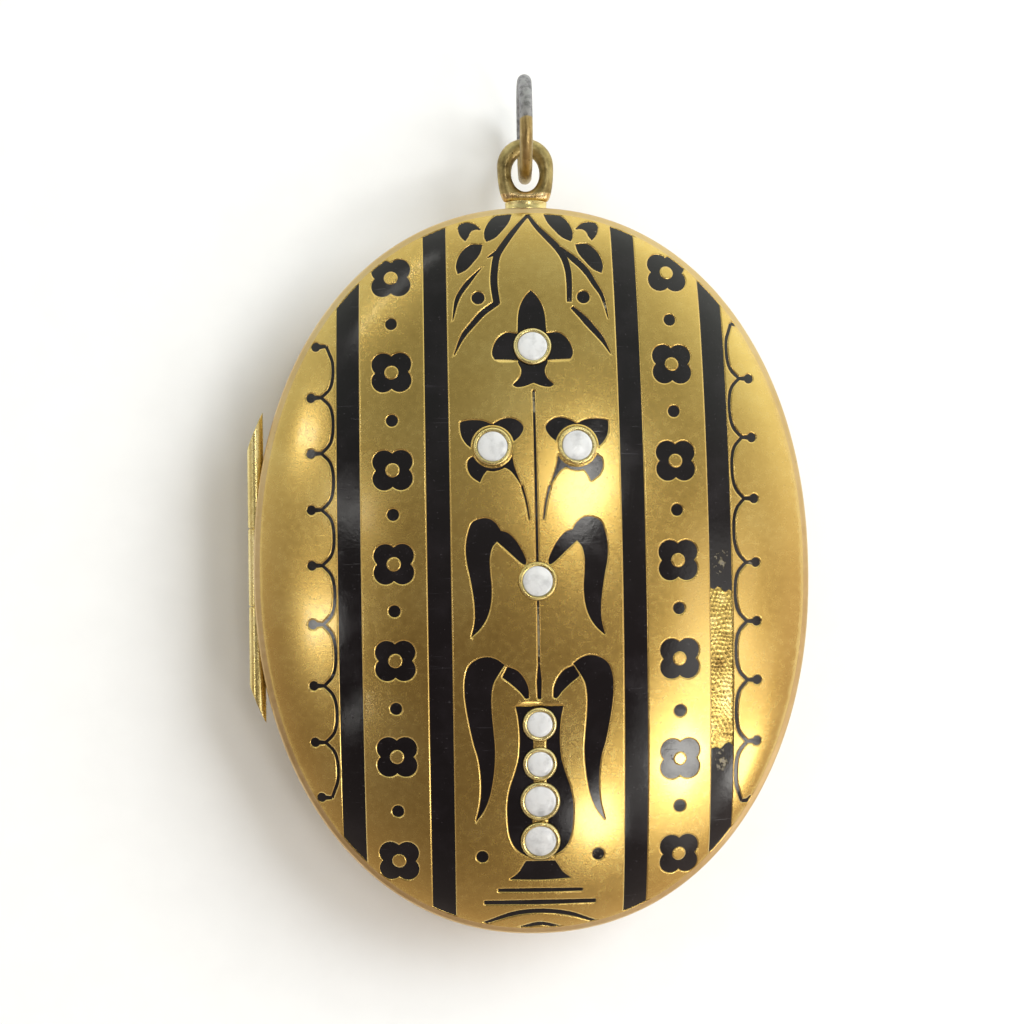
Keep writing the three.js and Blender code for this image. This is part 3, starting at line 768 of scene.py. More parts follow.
# ---------- pearls ----------
COLLET_WALL = 0.26
COLLET_RISE = 0.1  # above the gold
PEARL_RISE = 0.13
PEARL_SEAT = 0.25  # depth of the seat under a pearl
PEARL_SLIP = 0.015
PEARL_FOOT = -PEARL_SEAT + 0.02
WEB_HALF_HEIGHT = 0.5  # webs of gold join the collets of the vase
WEB_SHARE = 0.55  # of the smaller pearl's radius
WEB_WAIST = 0.9
pearls = {}
for node in sorted(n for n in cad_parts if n.startswith("pearl_")):
    low, high, middle = box_mm(node)
    pearls[node.removeprefix("pearl_")] = (middle[0], middle[1], (high[0] - low[0]) / 2)
for upper, lower in (("vase_1", "vase_2"), ("vase_2", "vase_3"), ("vase_3", "vase_4")):
    y = (pearls[upper][1] - pearls[upper][2] + pearls[lower][1] + pearls[lower][2]) / 2
    half = WEB_SHARE * min(pearls[upper][2], pearls[lower][2])
    web = [(half, y + WEB_HALF_HEIGHT), (half * WEB_WAIST, y), (half, y - WEB_HALF_HEIGHT)]
    islands.append(both_sides(web))
# A ring of gold was left standing round each pansy's collet, with a thread of enamel below it.
PANSY_RING = 1.31
PANSY_THREAD = 1.4
for x, y, _ in (pearls[name] for name in pearls if name.startswith("pansy")):
    islands.append(circle(x, y, PANSY_RING))
    below = [math.radians(a) for a in (-150, -120, -90, -60, -30)]
    thread = [(x + PANSY_THREAD * math.cos(a), y + PANSY_THREAD * math.sin(a)) for a in below]
    add_motif("enamel_pansies", brush(thread, [0.04, 0.2, 0.04]))


# ---------- wear of the enamel, and painted sheen ---
# Each spot is a middle (x, y), a reach along X and Y and a strength: at 1 everything has flaked off. The
# spots on the right quatrefoil at (8.6, -11.75) and on the vase's foot at (0.0, -18.5) are painted sheen,
# not lost enamel.
WEAR_AND_SHEEN_SPOTS = [
    (11.3, 0.2, 1.0, 1.7, 0.5), (11.3, -12.0, 1.0, 1.3, 0.52),
    (13.0, 0.5, 1.2, 4.5, 0.44), (13.0, -10.0, 1.2, 3.6, 0.4),
    (2.36, 16.4, 0.4, 0.7, 0.5), (4.55, 16.0, 0.4, 1.2, 0.5),
    (0.0, 9.9, 0.4, 1.3, 0.6), (0.0, -3.9, 0.4, 2.2, 0.75),
    # The spot at (8.6, -11.75) paints a grey sheen on a quatrefoil.
    (8.6, -11.75, 1.6, 1.5, 0.36), (3.5, -17.5, 0.6, 0.6, 0.5), (-0.9, 4.0, 0.5, 1.2, 0.45),
    # The spot at (0.0, -18.5) paints a grey sheen on the vase's foot.
    (0.9, 4.0, 0.5, 1.2, 0.45), (0.0, -18.5, 2.2, 0.7, 0.34), (4.3, 21.0, 0.7, 0.8, 0.4),
]


def wear_and_sheen_at(x, y):
    """The strongest value of any spot at each point: real wear, and painted sheen at two spots."""
    total = np.zeros_like(x)
    for middle_x, middle_y, reach_x, reach_y, strength in WEAR_AND_SHEEN_SPOTS:
        away = ((x - middle_x) / reach_x) ** 2 + ((y - middle_y) / reach_y) ** 2
        total = np.maximum(total, strength * np.exp(-away))
    return total


# ---------- the engraved dome ----------
def inside(x, y, loop):
    """Which points are inside a closed loop."""
    result = np.zeros(len(x), bool)
    px, py = np.array(loop).T
    near = (x > px.min()) & (x < px.max()) & (y > py.min()) & (y < py.max())
    if not near.any():
        return result
    nx, ny = x[near], y[near]
    turns = np.zeros(len(nx), int)
    for ax, ay, bx, by in zip(px, py, np.roll(px, -1), np.roll(py, -1)):
        left = (bx - ax) * (ny - ay) - (nx - ax) * (by - ay)
        turns += ((ay <= ny) & (by > ny) & (left > 0)).astype(int)
        turns -= ((ay > ny) & (by <= ny) & (left < 0)).astype(int)
    result[near] = turns != 0
    return result


edge_loop = oval_loop(DOME_RADIUS)
motif_limit = oval_loop(DOME_RADIUS - MOTIF_EDGE)
collet_loops = [circle(x, y, radius + COLLET_WALL + PEARL_SLIP, 48) for x, y, radius in pearls.values()]
bare_left, bare_right = stripe_edges["enamel_stripe_right_outer"]
bare_corners = [
    (bare_left + share * (bare_right - bare_left), base + y)
    for end, base in ((LOSS_TOP, 0), (LOSS_END, LOSS_BOTTOM))
    for share, y in end
]
bare_loop = outline(*[[corner] for corner in bare_corners])

loops = [edge_loop, motif_limit, bare_loop, *[m[1] for m in motifs], *islands, *collet_loops]
corner_list, edge_list = [], []
for loop in loops:
    first = len(corner_list)
    corner_list += [tuple(map(float, p)) for p in loop]
    edge_list += [(first + i, first + (i + 1) % len(loop)) for i in range(len(loop))]


def finder(places, ids):
    """Finds the nearest of some flat places, and says which id it has."""
    tree = KDTree(len(ids))
    for i in ids:
        tree.insert((*places[i], 0), int(i))
    tree.balance()
    return tree


# Extra points beside every outline carry its rounded edge, and a grid carries the dome.
line_tree = finder(corner_list, range(len(corner_list)))


def clear_of_lines(x, y, distance):
    """Whether a place is at least that far from every outline."""
    return line_tree.find((x, y, 0))[2] >= distance


EDGE_LINES = (-EDGE_WIDTH, EDGE_WIDTH, -0.45 * EDGE_WIDTH, 0.45 * EDGE_WIDTH)
LINE_CLEARANCE = 0.85  # of a line's distance, so that lines of two outlines don't crowd each other
LINE_LIMIT = 0.995  # of the way to the dome's edge
GRID_LIMIT = 0.985
GRID_CLEARANCE = 0.2
extra = []
for loop in [m[1] for m in motifs] + islands:
    p = np.array(loop)
    ahead = np.roll(p, -1, 0) - np.roll(p, 1, 0)
    length = np.linalg.norm(ahead, axis=1)
    side = np.stack([-ahead[:, 1], ahead[:, 0]], 1) / np.maximum(length, 1e-9)[:, None]
    for away in EDGE_LINES:
        for x, y in p + side * away:
            if clear_of_lines(x, y, LINE_CLEARANCE * abs(away)) and oval_share(x, y) < LINE_LIMIT:
                extra.append((float(x), float(y)))
grid_x = np.arange(-DOME_RADIUS, DOME_RADIUS, GRID_STEP)
grid_y = np.arange(-DOME_HALF_HEIGHT, DOME_HALF_HEIGHT, GRID_STEP)
for row, y in enumerate(grid_y):
    for x in grid_x + (row % 2) * GRID_STEP / 2:
        if oval_share(x, y) < GRID_LIMIT and clear_of_lines(x, y, GRID_CLEARANCE):
            extra.append((float(x), float(y)))
for y in np.arange(LOSS_BOTTOM, LOSS_TOP[0][1], STIPPLE_STEP):
    for x in np.arange(bare_left + STIPPLE_STEP, bare_right - STIPPLE_STEP / 2, STIPPLE_STEP):
        extra.append((float(x), float(y)))

flat_points, _, flat_faces, _, _, _ = delaunay_2d_cdt(
    [Vector(p) for p in corner_list + extra], edge_list, [], 0, 1e-5, False
)
flat = np.array([tuple(p) for p in flat_points], float)
triangles = np.array([f for f in flat_faces if len(f) == 3], int)
middles = flat[triangles].mean(1)
mx, my = middles[:, 0], middles[:, 1]
area = np.cross(flat[triangles[:, 1]] - flat[triangles[:, 0]], flat[triangles[:, 2]] - flat[triangles[:, 0]])
triangles[area < 0] = triangles[area < 0][:, ::-1]
kept = inside(mx, my, edge_loop) & (np.abs(area) > 1e-9)

# Sort every triangle: 0 is gold, -1 is under a collet, and the rest are motifs by piece.
piece_names = list(dict.fromkeys(name for name, _ in motifs))
kind = np.zeros(len(triangles), int)
for name, loop in motifs:
    kind[inside(mx, my, loop)] = 1 + piece_names.index(name)
for loop in islands:
    kind[inside(mx, my, loop)] = 0
kind[~inside(mx, my, motif_limit)] = 0
for loop in collet_loops:
    kind[inside(mx, my, loop)] = -1
bare = inside(mx, my, bare_loop) & (kind == 1 + piece_names.index("enamel_stripe_right_outer"))


def rim_edges(faces):
    """The open edges of a set of triangles, each in the direction its triangle runs."""
    seen = {}
    for a, b, c in faces:
        for edge in ((a, b), (b, c), (c, a)):
            seen[edge] = True
    return [edge for edge in seen if (edge[1], edge[0]) not in seen]


gold_triangles = triangles[kept & (kind == 0)]
sunk_triangles = triangles[kept & (kind > 0)]
dome_edge_points = set(np.nonzero(oval_share(flat[:, 0], flat[:, 1]) > 0.9995)[0])
seat_triangles = triangles[kept & (kind == -1)]
seat_edges = set(rim_edges(seat_triangles))
gold_edges = [
    (a, b) for a, b in rim_edges(gold_triangles)
    if not (a in dome_edge_points and b in dome_edge_points) and (b, a) not in seat_edges
]

# The rounded edge: how far each gold point is lowered, and which way it leans.
edge_lean = np.zeros((len(flat), 2))
for a, b in gold_edges:
    run = flat[b] - flat[a]
    outward = np.array([run[1], -run[0]]) / max(np.linalg.norm(run), 1e-9)
    edge_lean[a] += outward
    edge_lean[b] += outward
on_edge = np.nonzero(np.abs(edge_lean).sum(1) > 0)[0]
edge_lean[on_edge] /= np.maximum(np.linalg.norm(edge_lean[on_edge], axis=1), 1e-9)[:, None]
edge_tree = finder(flat, on_edge)
drop = np.zeros(len(flat))
lean = np.zeros((len(flat), 2))
for i in np.unique(gold_triangles):
    _, nearest, distance = edge_tree.find((*flat[i], 0))
    if distance < EDGE_WIDTH:
        left_over = 1 - distance / EDGE_WIDTH
        away = edge_lean[i] if distance < 1e-6 else (flat[nearest] - flat[i]) / distance
        drop[i] = EDGE_DROP * left_over**2
        lean[i] = away * (2 * EDGE_DROP / EDGE_WIDTH) * left_over
slope_x, slope_y = dome_slope(flat[:, 0], flat[:, 1])
surface = dome_z(flat[:, 0], flat[:, 1])
dome_normals = np.stack([-slope_x, -slope_y, np.ones(len(flat))], 1)
gold_normals = dome_normals + np.concatenate([lean, np.zeros((len(flat), 1))], 1)
dome_normals /= np.linalg.norm(dome_normals, axis=1)[:, None]
gold_normals /= np.linalg.norm(gold_normals, axis=1)[:, None]


def stipple(x, y):
    """Uneven rows of small punched dots across the bare ground."""
    sway = STIPPLE_PITCH * (0.2 * np.sin(1.7 * x + 2.9 * y) + 0.15 * np.sin(5.3 * x - 1.9 * y))
    offset = 0.5 * STIPPLE_PITCH * np.round(y / STIPPLE_PITCH)
    row = np.cos(2 * math.pi * (y + sway) / STIPPLE_PITCH)
    dash = np.cos(2 * math.pi * (x + offset + sway) / STIPPLE_PITCH)
    return STIPPLE_DEPTH * np.maximum(0, 0.25 + 0.75 * row) * np.maximum(0, 0.25 + 0.75 * dash)


# ---------- covers ----------
NICK = (2.6, 0.35, 0.4)  # half its length, half its height and its depth
HINGE_ROOM = 0.05  # between the hinge barrel and the rims
INNER_RINGS = 5  # the last rings of the rim's profile have the gold of the inside
BACK_RINGS = 22  # on the curved part of the back, closer together towards the rim


def in_groove(points):
    """Moves rim points that the hinge barrel needs out of its way."""
    top = barrel_high[1] + HINGE_ROOM
    bottom = box_mm("hinge_knuckle_lower")[0][1] - HINGE_ROOM
    reach = BARREL_RADIUS + HINGE_ROOM
    for p in points:
        rise = p[2] - PARTING_Z
        if bottom < p[1] < top and math.hypot(p[0] - HINGE_X, rise) < reach:
            p[0] = max(p[0], HINGE_X + math.sqrt(reach**2 - rise**2))


def in_nick(points):
    """Presses the thumbnail nick into the front rim opposite the hinge."""
    half_length, half_height, depth = NICK
    for p in points:
        away = (p[1] / half_length) ** 2 + ((p[2] - PARTING_Z) / half_height) ** 2
        if p[0] > 0 and away < 1:
            p[0] = min(p[0], HALF_WIDTH - depth * math.sqrt(1 - away))


def rim_profile():
    """[radius, height] from the edge of the dome over the rolled rim to the parting plane and inwards."""
    roll = spline([
        (DOME_RADIUS, RIM_HEIGHT), (DOME_RADIUS + 0.12, RIM_HEIGHT - 0.07),
        (HALF_WIDTH - 0.12, 0.83 * RIM_HEIGHT), (HALF_WIDTH - 0.03, 0.65 * RIM_HEIGHT),
        (HALF_WIDTH, 0.42 * RIM_HEIGHT), (HALF_WIDTH - 0.015, 0.18 * RIM_HEIGHT),
        (HALF_WIDTH - 0.08, PARTING_GAP / 2),
    ], 0.07)
    flat_part = spline([(HALF_WIDTH - 0.08, PARTING_GAP / 2), (INNER_RADIUS, PARTING_GAP / 2)], 0.3)
    wall = spline([(INNER_RADIUS, PARTING_GAP / 2), (INNER_RADIUS, INNER_EDGE)], 0.3)
    return roll + flat_part[1:] + wall[1:]


def inner_dome(depth, flat_share):
    """[radius, height] of the inside of a cover from its edge to near its middle."""
    out = []
    for share in (0.985, 0.95, 0.9, 0.83, 0.75, 0.65, 0.55, 0.45, 0.3, 0.15):
        rise = (depth - COVER_WALL - INNER_EDGE) * float(dome_share(share, flat_share))
        out.append((INNER_RADIUS * share, INNER_EDGE + rise))
    return out


def build_front_cover():
    """The engraved dome with its recesses, joined to the rolled rim and the plain inside."""
    shade_of = {"gold": 0, "recess": 1, "rim": 2, "inside": 3, "bare": 4}
    points = [[x, y, z] for (x, y), z in zip(flat, surface - drop)]
    normals = [tuple(n) for n in gold_normals]
    faces = [tuple(t) for t in gold_triangles]
    shades = [shade_of["gold"]] * len(faces)
    bare_points = set(np.unique(triangles[bare]))

    def lay_floor(chosen, chosen_shades, walls, depth_at, normal_at):
        """Adds a floor some way under the chosen triangles, and the walls that go down to it."""
        below = {}
        for i in np.unique(chosen):
            below[i] = len(points)
            points.append([*flat[i], surface[i] - depth_at(i)])
            normals.append(normal_at(i))
        for t, shade in zip(chosen, chosen_shades):
            faces.append(tuple(below[i] for i in t))
            shades.append(shade_of[shade])
        for a, b in walls:
            faces.append((below[a], below[b], b, a))
            shades.append(shade_of["recess"])

    def recess_depth(i):
        return RECESS_DEPTH - (BARE_RISE + float(stipple(*flat[i])) if i in bare_points else 0)

    recess_shades = ["bare" if is_bare else "recess" for is_bare in bare[kept & (kind > 0)]]
    lay_floor(sunk_triangles, recess_shades, rim_edges(sunk_triangles), recess_depth,
              lambda i: (0, 0, 0) if i in bare_points else tuple(dome_normals[i]))
    seat_shades = ["recess"] * len(seat_triangles)
    lay_floor(seat_triangles, seat_shades, seat_edges, lambda i: PEARL_SEAT, lambda i: (0, 0, 0))
    profile = rim_profile()[1:] + inner_dome(FRONT_DEPTH, 0.0)
    ring_points = [[x, y, PARTING_Z + height] for radius, height in profile for x, y in oval_loop(radius)]
    in_groove(ring_points)
    in_nick(ring_points)
    edge_ids = edge_order()
    first = len(points)
    ring_starts = [first + k * EDGE_POINTS for k in range(len(profile))]
    rings = [edge_ids] + [list(range(start, start + EDGE_POINTS)) for start in ring_starts]
    points += ring_points
    normals += [(0, 0, 0)] * len(ring_points)
    for number, (outer, inner) in enumerate(zip(rings, rings[1:])):
        shade = "inside" if number >= len(rim_profile()) - INNER_RINGS else "rim"
        for i in range(EDGE_POINTS):
            k = (i + 1) % EDGE_POINTS
            faces.append((outer[i], inner[i], inner[k], outer[k]))
            shades.append(shade_of[shade])
    centre = len(points)
    points.append([0, 0, PARTING_Z + FRONT_DEPTH - COVER_WALL])
    normals.append((0, 0, 0))
    for i in range(EDGE_POINTS):
        faces.append((rings[-1][i], centre, rings[-1][(i + 1) % EDGE_POINTS]))
        shades.append(shade_of["inside"])
    for i in edge_ids:
        normals[i] = (0, 0, 0)
    # The second gold is darkened as painted shade in the recesses.
    golds = [FRONT_GOLD, RECESS_SHADE_GOLD, RIM_GOLD, INNER_GOLD, GROUND_GOLD]
    cover = ["front_cover"]
    add_mesh("front_cover_engraved", points, faces, golds, "front", "gilt_metal", cover, shades, normals)


def edge_order():
    """The ids of the dome's edge points, in order round the oval."""
    tree = finder(flat, range(len(flat)))
    return [tree.find((x, y, 0))[1] for x, y in edge_loop]


def build_enamel(name):
    """The inlays of enamel of one piece, filling their recesses to just under the gold."""
    chosen = kept & (kind == 1 + piece_names.index(name)) & ~bare
    faces_2d = triangles[chosen]
    ids = np.unique(faces_2d)
    top_of = {i: n for n, i in enumerate(ids)}
    count = len(ids)
    points = [(*flat[i], surface[i] - ENAMEL_DROP) for i in ids]
    points += [(*flat[i], surface[i] - RECESS_DEPTH + INLAY_GAP) for i in ids]
    faces = [tuple(top_of[i] for i in t) for t in faces_2d]
    faces += [tuple(top_of[i] + count for i in reversed(t)) for t in faces_2d]
    for a, b in rim_edges(faces_2d):
        faces.append((top_of[a], top_of[a] + count, top_of[b] + count, top_of[b]))
    stand_in = [name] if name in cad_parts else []  # the long stripes are in the CAD too
    normals = [tuple(dome_normals[i]) for i in ids] + [(0, 0, 0)] * count
    piece_name = name + "_fine" if stand_in else name
    mesh = add_mesh(piece_name, points, faces, ENAMEL, "front", "black_enamel", stand_in).data
    top_count = len(faces_2d)
    loop_normals = []
    for polygon in mesh.polygons:
        for vertex in polygon.vertices:
            loop_normals.append(normals[vertex] if polygon.index < top_count else (0, 0, 0))
    mesh.normals_split_custom_set(loop_normals)
    # This attribute carries real flaking, and painted sheen at two spots.
    wear_and_sheen = mesh.attributes.new("wear_and_sheen", "FLOAT", "POINT")
    values = wear_and_sheen_at(*flat[ids].T)
    wear_and_sheen.data.foreach_set("value", np.concatenate([values, values]).astype(np.float32))


def build_back_cover():
    """The plain back, with its flat rest, rolled rim and inside."""
    profile = []
    steps = [math.sin(math.pi / 2 * i / BACK_RINGS) for i in range(BACK_RINGS)]
    shares = [REST_SHARE + (1 - REST_SHARE) * step for step in steps]
    for share in [0.15, 0.3, REST_SHARE - 0.01, *shares]:
        rise = (BACK_DEPTH - RIM_HEIGHT) * float(dome_share(share, REST_SHARE))
        profile.append((DOME_RADIUS * share, RIM_HEIGHT + rise))
    outside_rings = len(profile) + len(rim_profile()) - INNER_RINGS
    profile += rim_profile() + inner_dome(BACK_DEPTH, REST_SHARE)
    points = [[x, y, PARTING_Z - height] for radius, height in profile for x, y in oval_loop(radius)]
    in_groove(points)
    faces = rings_to_faces(len(profile), EDGE_POINTS)
    shades = [0 if i // EDGE_POINTS < outside_rings else 1 for i in range(len(faces))]
    first = len(points)
    points += [[0, 0, z] for z in (PARTING_Z - BACK_DEPTH, PARTING_Z - BACK_DEPTH + COVER_WALL)]
    last = (len(profile) - 1) * EDGE_POINTS
    for i in range(EDGE_POINTS):
        k = (i + 1) % EDGE_POINTS
        faces += [(first, k, i), (first + 1, last + i, last + k)]
        shades += [0, 1]
    golds = [BACK_GOLD, INNER_GOLD]
    add_mesh("back_cover_fine", points, faces, golds, "back", "gilt_metal", ["back_cover"], shades)


build_front_cover()
for piece_name in piece_names:
    build_enamel(piece_name)
build_back_cover()


# ---------- pearls and collets ----------
def on_dome(x, y, profile, count=48, wobble=0.0):
    """Points and faces of an open [radius, height] profile turned on the dome at x, y, square to it."""
    slopes = dome_slope(np.array([x]), np.array([y]))
    up = np.array([-slopes[0][0], -slopes[1][0], 1.0])
    up /= np.linalg.norm(up)
    side = np.cross((0, 1, 0), up)
    side /= np.linalg.norm(side)
    base = (x, y, float(dome_z(x, y)))
    points, faces = turned_mesh(profile, base, up, side, count)
    for j, p in enumerate(points):
        turn = 2 * math.pi * (j % count) / count
        swing = wobble * (math.sin(3 * turn + x) + 0.6 * math.sin(5 * turn + y))
        points[j] = p + (p - np.array(base)) * swing
    return points, faces


for name, (x, y, radius) in pearls.items():
    dome = [(radius * math.cos(t), 0.03 + (PEARL_RISE - 0.03) * math.sin(t)) for t in np.linspace(0, 1.5, 9)]
    profile = [(NEAR_AXIS, PEARL_FOOT), (radius, PEARL_FOOT), *dome, (NEAR_AXIS, PEARL_RISE)]
    add_fine(f"pearl_{name}", on_dome(x, y, profile, wobble=0.006), PEARL, "front", "pearl")
    inner, outer = radius + PEARL_SLIP, radius + COLLET_WALL
    middle = (inner + outer) / 2
    crest = [(outer, 0.0), (outer - 0.03, 0.55 * COLLET_RISE), (middle + 0.02, COLLET_RISE),
             (middle - 0.04, COLLET_RISE), (inner + 0.02, 0.75 * COLLET_RISE), (inner, 0.03)]
    profile = [(inner, PEARL_FOOT), (outer, PEARL_FOOT), *crest, (inner, PEARL_FOOT)]
    # The collets take the lighter gold, which paints their highlight.
    add_fine(f"collet_{name}", on_dome(x, y, profile, wobble=0.004), HIGHLIGHT_GOLD, "front")


# ---------- picture frames inside ----------
SEAT_WIDTH = 0.82
BEZEL_WALL = 0.2
BEZEL_LIP = 0.65
BEZEL_LIP_THICK = 0.24
FLANGE_WALL = 0.2


def oval_span(node):
    """Outer radius and the low and high z of a flat oval node."""
    low, high, _ = box_mm(node)
    return high[0], low[2], high[2]


def add_hoop(node, wall, soft, body):
    """A flat or upright hoop of metal with soft corners."""
    outer, low, high = oval_span(node)
    profile = [(outer - wall, low), (outer, low), (outer, high), (outer - wall, high)]
    add_fine(node, oval_ring_mesh(rounded(profile, soft)), INNER_GOLD, body)


def add_plate(node, edge, material, body, slot, name=""):
    """A flat plate whose edge comes to a blunt point that stands out by the given amount."""
    outer, low, high = oval_span(node)
    profile = [(outer - edge, low), (outer, (low + high) / 2), (outer - edge, high)]
    add_fine(node, oval_plate_mesh(profile), material, body, slot, name)


def add_glass(node, bevel, body):
    outer, low, high = oval_span(node)
    profile = [(outer - bevel, low), (outer, low + bevel), (outer, high - bevel), (outer - bevel, high)]
    add_fine(node, oval_plate_mesh(profile), GLASS, body, "clear_glass")


def add_bezel(node, facing, body):
    """A snap-in bezel whose lip lies over the glass. It faces up when facing is 1, and down when -1."""
    outer, *ends = oval_span(node)
    foot, lip = ends[::facing]
    wall = outer - BEZEL_WALL
    under = lip - facing * BEZEL_LIP_THICK
    lip_edge = wall - BEZEL_LIP
    profile = [(lip_edge, lip), (outer, lip), (outer, foot), (wall, foot), (wall, under), (lip_edge, under)]
    add_fine(node, oval_ring_mesh(rounded(profile, 0.07)), HIGHLIGHT_GOLD, body)


for side, facing in (("back", 1), ("front", -1)):
    add_hoop(f"{side}_seat_ring", SEAT_WIDTH, 0.09, side)
    add_plate(f"{side}_lining_plate", 0.05, INNER_GOLD, side, "gilt_metal")
    add_plate(f"{side}_paper_insert", 0.02, PAPER, side, "blank_paper", f"{side}_paper")
    add_glass(f"{side}_glass", 0.06, side)
    add_bezel(f"{side}_bezel", facing, side)
add_hoop("closing_flange", FLANGE_WALL, 0.08, "back")

# ---------- hinge ----------
HINGE_BORE = 0.26
HINGE_TAPER = 2.4  # how much shorter the barrel is on its outer side, at each end
KNUCKLE_SOFT = 0.06


def add_barrel(node, profile, material, body, slot="gilt_metal"):
    """A turned hinge piece. Its far ends are filed off on a slant, like the hinge's own ends."""
    points, faces = turned_mesh(profile, (HINGE_X, 0, PARTING_Z), (0, 1, 0), (0, 0, 1), 48)
    for p in points:
        outward = (HINGE_X + BARREL_RADIUS - p[0]) / (2 * BARREL_RADIUS)
        p[1] = min(p[1], pin_high[1] - HINGE_TAPER * outward)
        p[1] = max(p[1], pin_low[1] + HINGE_TAPER * outward)
    add_fine(node, (points, faces), material, body, slot)


for knuckle, body in (("upper", "back"), ("middle", "front"), ("lower", "back")):
    (_, near, _), (_, far, _), _ = box_mm(f"hinge_knuckle_{knuckle}")
    skin = [(BARREL_RADIUS, y) for y in np.linspace(near + KNUCKLE_SOFT, far - KNUCKLE_SOFT, 40)]
    soft = BARREL_RADIUS - KNUCKLE_SOFT
    profile = [(HINGE_BORE, near), (soft, near), *skin, (soft, far), (HINGE_BORE, far), (HINGE_BORE, near)]
    add_barrel(f"hinge_knuckle_{knuckle}", profile, HIGHLIGHT_GOLD, body)
pin_radius = (pin_high[0] - pin_low[0]) / 2
skin = [(pin_radius, y) for y in np.linspace(pin_low[1], pin_high[1], 60)]
pin = [(NEAR_AXIS, pin_low[1]), *skin, (NEAR_AXIS, pin_high[1])]
add_barrel("hinge_pin", pin, BAIL_METAL, "back", "antique_brass")

# ---------- bail and jump ring ----------
def two_tones(material, start, other_tones, other_roughness, upward):
    """Adds a second tone to one side of a height: above it when upward is 1, below it when upward is -1. On
    the jump ring it is a second metal, and on the bail's foot it is a painted highlight.
    """
    shader = next(n for n in material.node_tree.nodes if n.type == "BSDF_PRINCIPLED")
    tree = Tree(material.node_tree, shader)
    first_colour, first_polish = (
        shader.inputs[name].links[0].from_socket for name in ("Base Color", "Roughness")
    )
    height = tree.add("SeparateXYZ", Vector=tree.place()).outputs["Y"]
    ragged = tree.noise(tree.place(), 1.0, 2.0, 0.5)
    level = tree.plus(height, tree.times(ragged, 0.3 * MM))
    share = tree.span(level, start * MM, (start + 0.1 * upward) * MM)
    patches = tree.noise(tree.place(), 2.5, 4.0, 0.65)
    second_colour = tone_ramp(tree, patches, other_tones, 0.35, 0.6)
    tree.feed("Base Color", tree.mix(share, first_colour, second_colour))
    second_polish = tree.span(patches, 0.3, 0.7, *other_roughness)
    tree.feed("Roughness", tree.mix(share, first_polish, second_polish, "FLOAT"))


low, high, middle = box_mm("bail_collar")
collar_radius, collar_length = high[0], high[1] - low[1]
squash = (high[2] - low[2]) / (high[0] - low[0])
# Shares of the collar's radius and of its length, from its foot up.
shape = [(0, 0), (0.995, 0), (1.0, 0.06), (0.99, 0.2), (0.975, 0.4), (0.97, 0.6), (0.98, 0.8),
         (0.995, 0.92), (0.98, 0.99), (0, 1.0)]
profile = [(max(NEAR_AXIS, r * collar_radius), t * collar_length) for r, t in shape]
points, faces = turned_mesh(profile, (0, low[1], middle[2]), (0, 1, 0), (1, 0, 0), 72)
points = [(p[0], p[1], middle[2] + (p[2] - middle[2]) * squash) for p in points]
add_fine("bail_collar", (points, faces), HIGHLIGHT_GOLD, "back")


def swept_ring(centre_at, section_at, count, section_count):
    """A closed ring. Each turn has a centre, outward and sideways directions, and half widths."""
    points = []
    for turn in turns_round(count):
        centre, outward, across = centre_at(turn)
        wide, thick = section_at(turn)
        for t in turns_round(section_count):
            points.append(centre + wide * math.cos(t) * outward + thick * math.sin(t) * across)
    return points, rings_to_faces(count, section_count, closed=True)


low, high, middle = box_mm("bail_loop")
bail_outer, bail_thick = high[0], (high[2] - low[2]) / 2
BAIL_HOLE = (0.9, 1.16)  # half width and half height
HOLE_DROP = 0.46  # of the hole's middle under the middle of the loop's round top
FOOT_HALF = 0.96 * collar_radius
# The foot of the loop is painted lighter up to this height, as a painted highlight.
FOOT_HIGHLIGHT_HEIGHT = 0.75  # the loop's foot is brighter up to here
SKIN_STEPS = 40
loop_y = high[1] - bail_outer
foot_y = low[1]


def bail_skin():
    """The outside of the loop from its top to its foot: turns about the hole, and distances from it."""
    turns, distances = [], []
    for i in range(SKIN_STEPS + 1):
        t = math.pi * i / SKIN_STEPS
        across = bail_outer * math.sin(t)
        along = bail_outer * math.cos(t)
        if t > math.pi / 2:
            across = FOOT_HALF + (bail_outer - FOOT_HALF) * math.sin(t)
            along = (loop_y - foot_y) * math.cos(t)
        turns.append(math.atan2(across, along + HOLE_DROP))
        distances.append(math.hypot(across, along + HOLE_DROP))
    corner = math.atan2(FOOT_HALF, foot_y - loop_y + HOLE_DROP)
    for i in range(1, SKIN_STEPS + 1):
        turn = corner + (math.pi - corner) * i / SKIN_STEPS
        turns.append(turn)
        distances.append((foot_y - loop_y + HOLE_DROP) / math.cos(turn))
    return turns, distances


skin_turns, skin_distances = bail_skin()


def bail_reach(turn):
    """From the middle of the hole, how far the hole and the outside of the loop are in one direction."""
    to_hole = 1 / math.hypot(math.sin(turn) / BAIL_HOLE[0], math.cos(turn) / BAIL_HOLE[1])
    return to_hole, np.interp(min(turn, 2 * math.pi - turn), skin_turns, skin_distances)


def bail_centre(turn):
    outward = np.array((math.sin(turn), math.cos(turn), 0.0))
    start = np.array((0, loop_y - HOLE_DROP, middle[2]))
    return start + sum(bail_reach(turn)) / 2 * outward, outward, np.array((0, 0, 1.0))


def bail_section(turn):
    to_hole, to_skin = bail_reach(turn)
    return (to_skin - to_hole) / 2, bail_thick * (0.94 + 0.05 * math.cos(turn))


# The bail's foot gets a lighter tone below this height: a painted highlight.
two_tones(BAIL_METAL, foot_y + FOOT_HIGHLIGHT_HEIGHT, FOOT_HIGHLIGHT_TONES, (0.2, 0.35), -1)
add_fine("bail_loop", swept_ring(bail_centre, bail_section, 128, 32), BAIL_METAL, "back", "antique_brass")

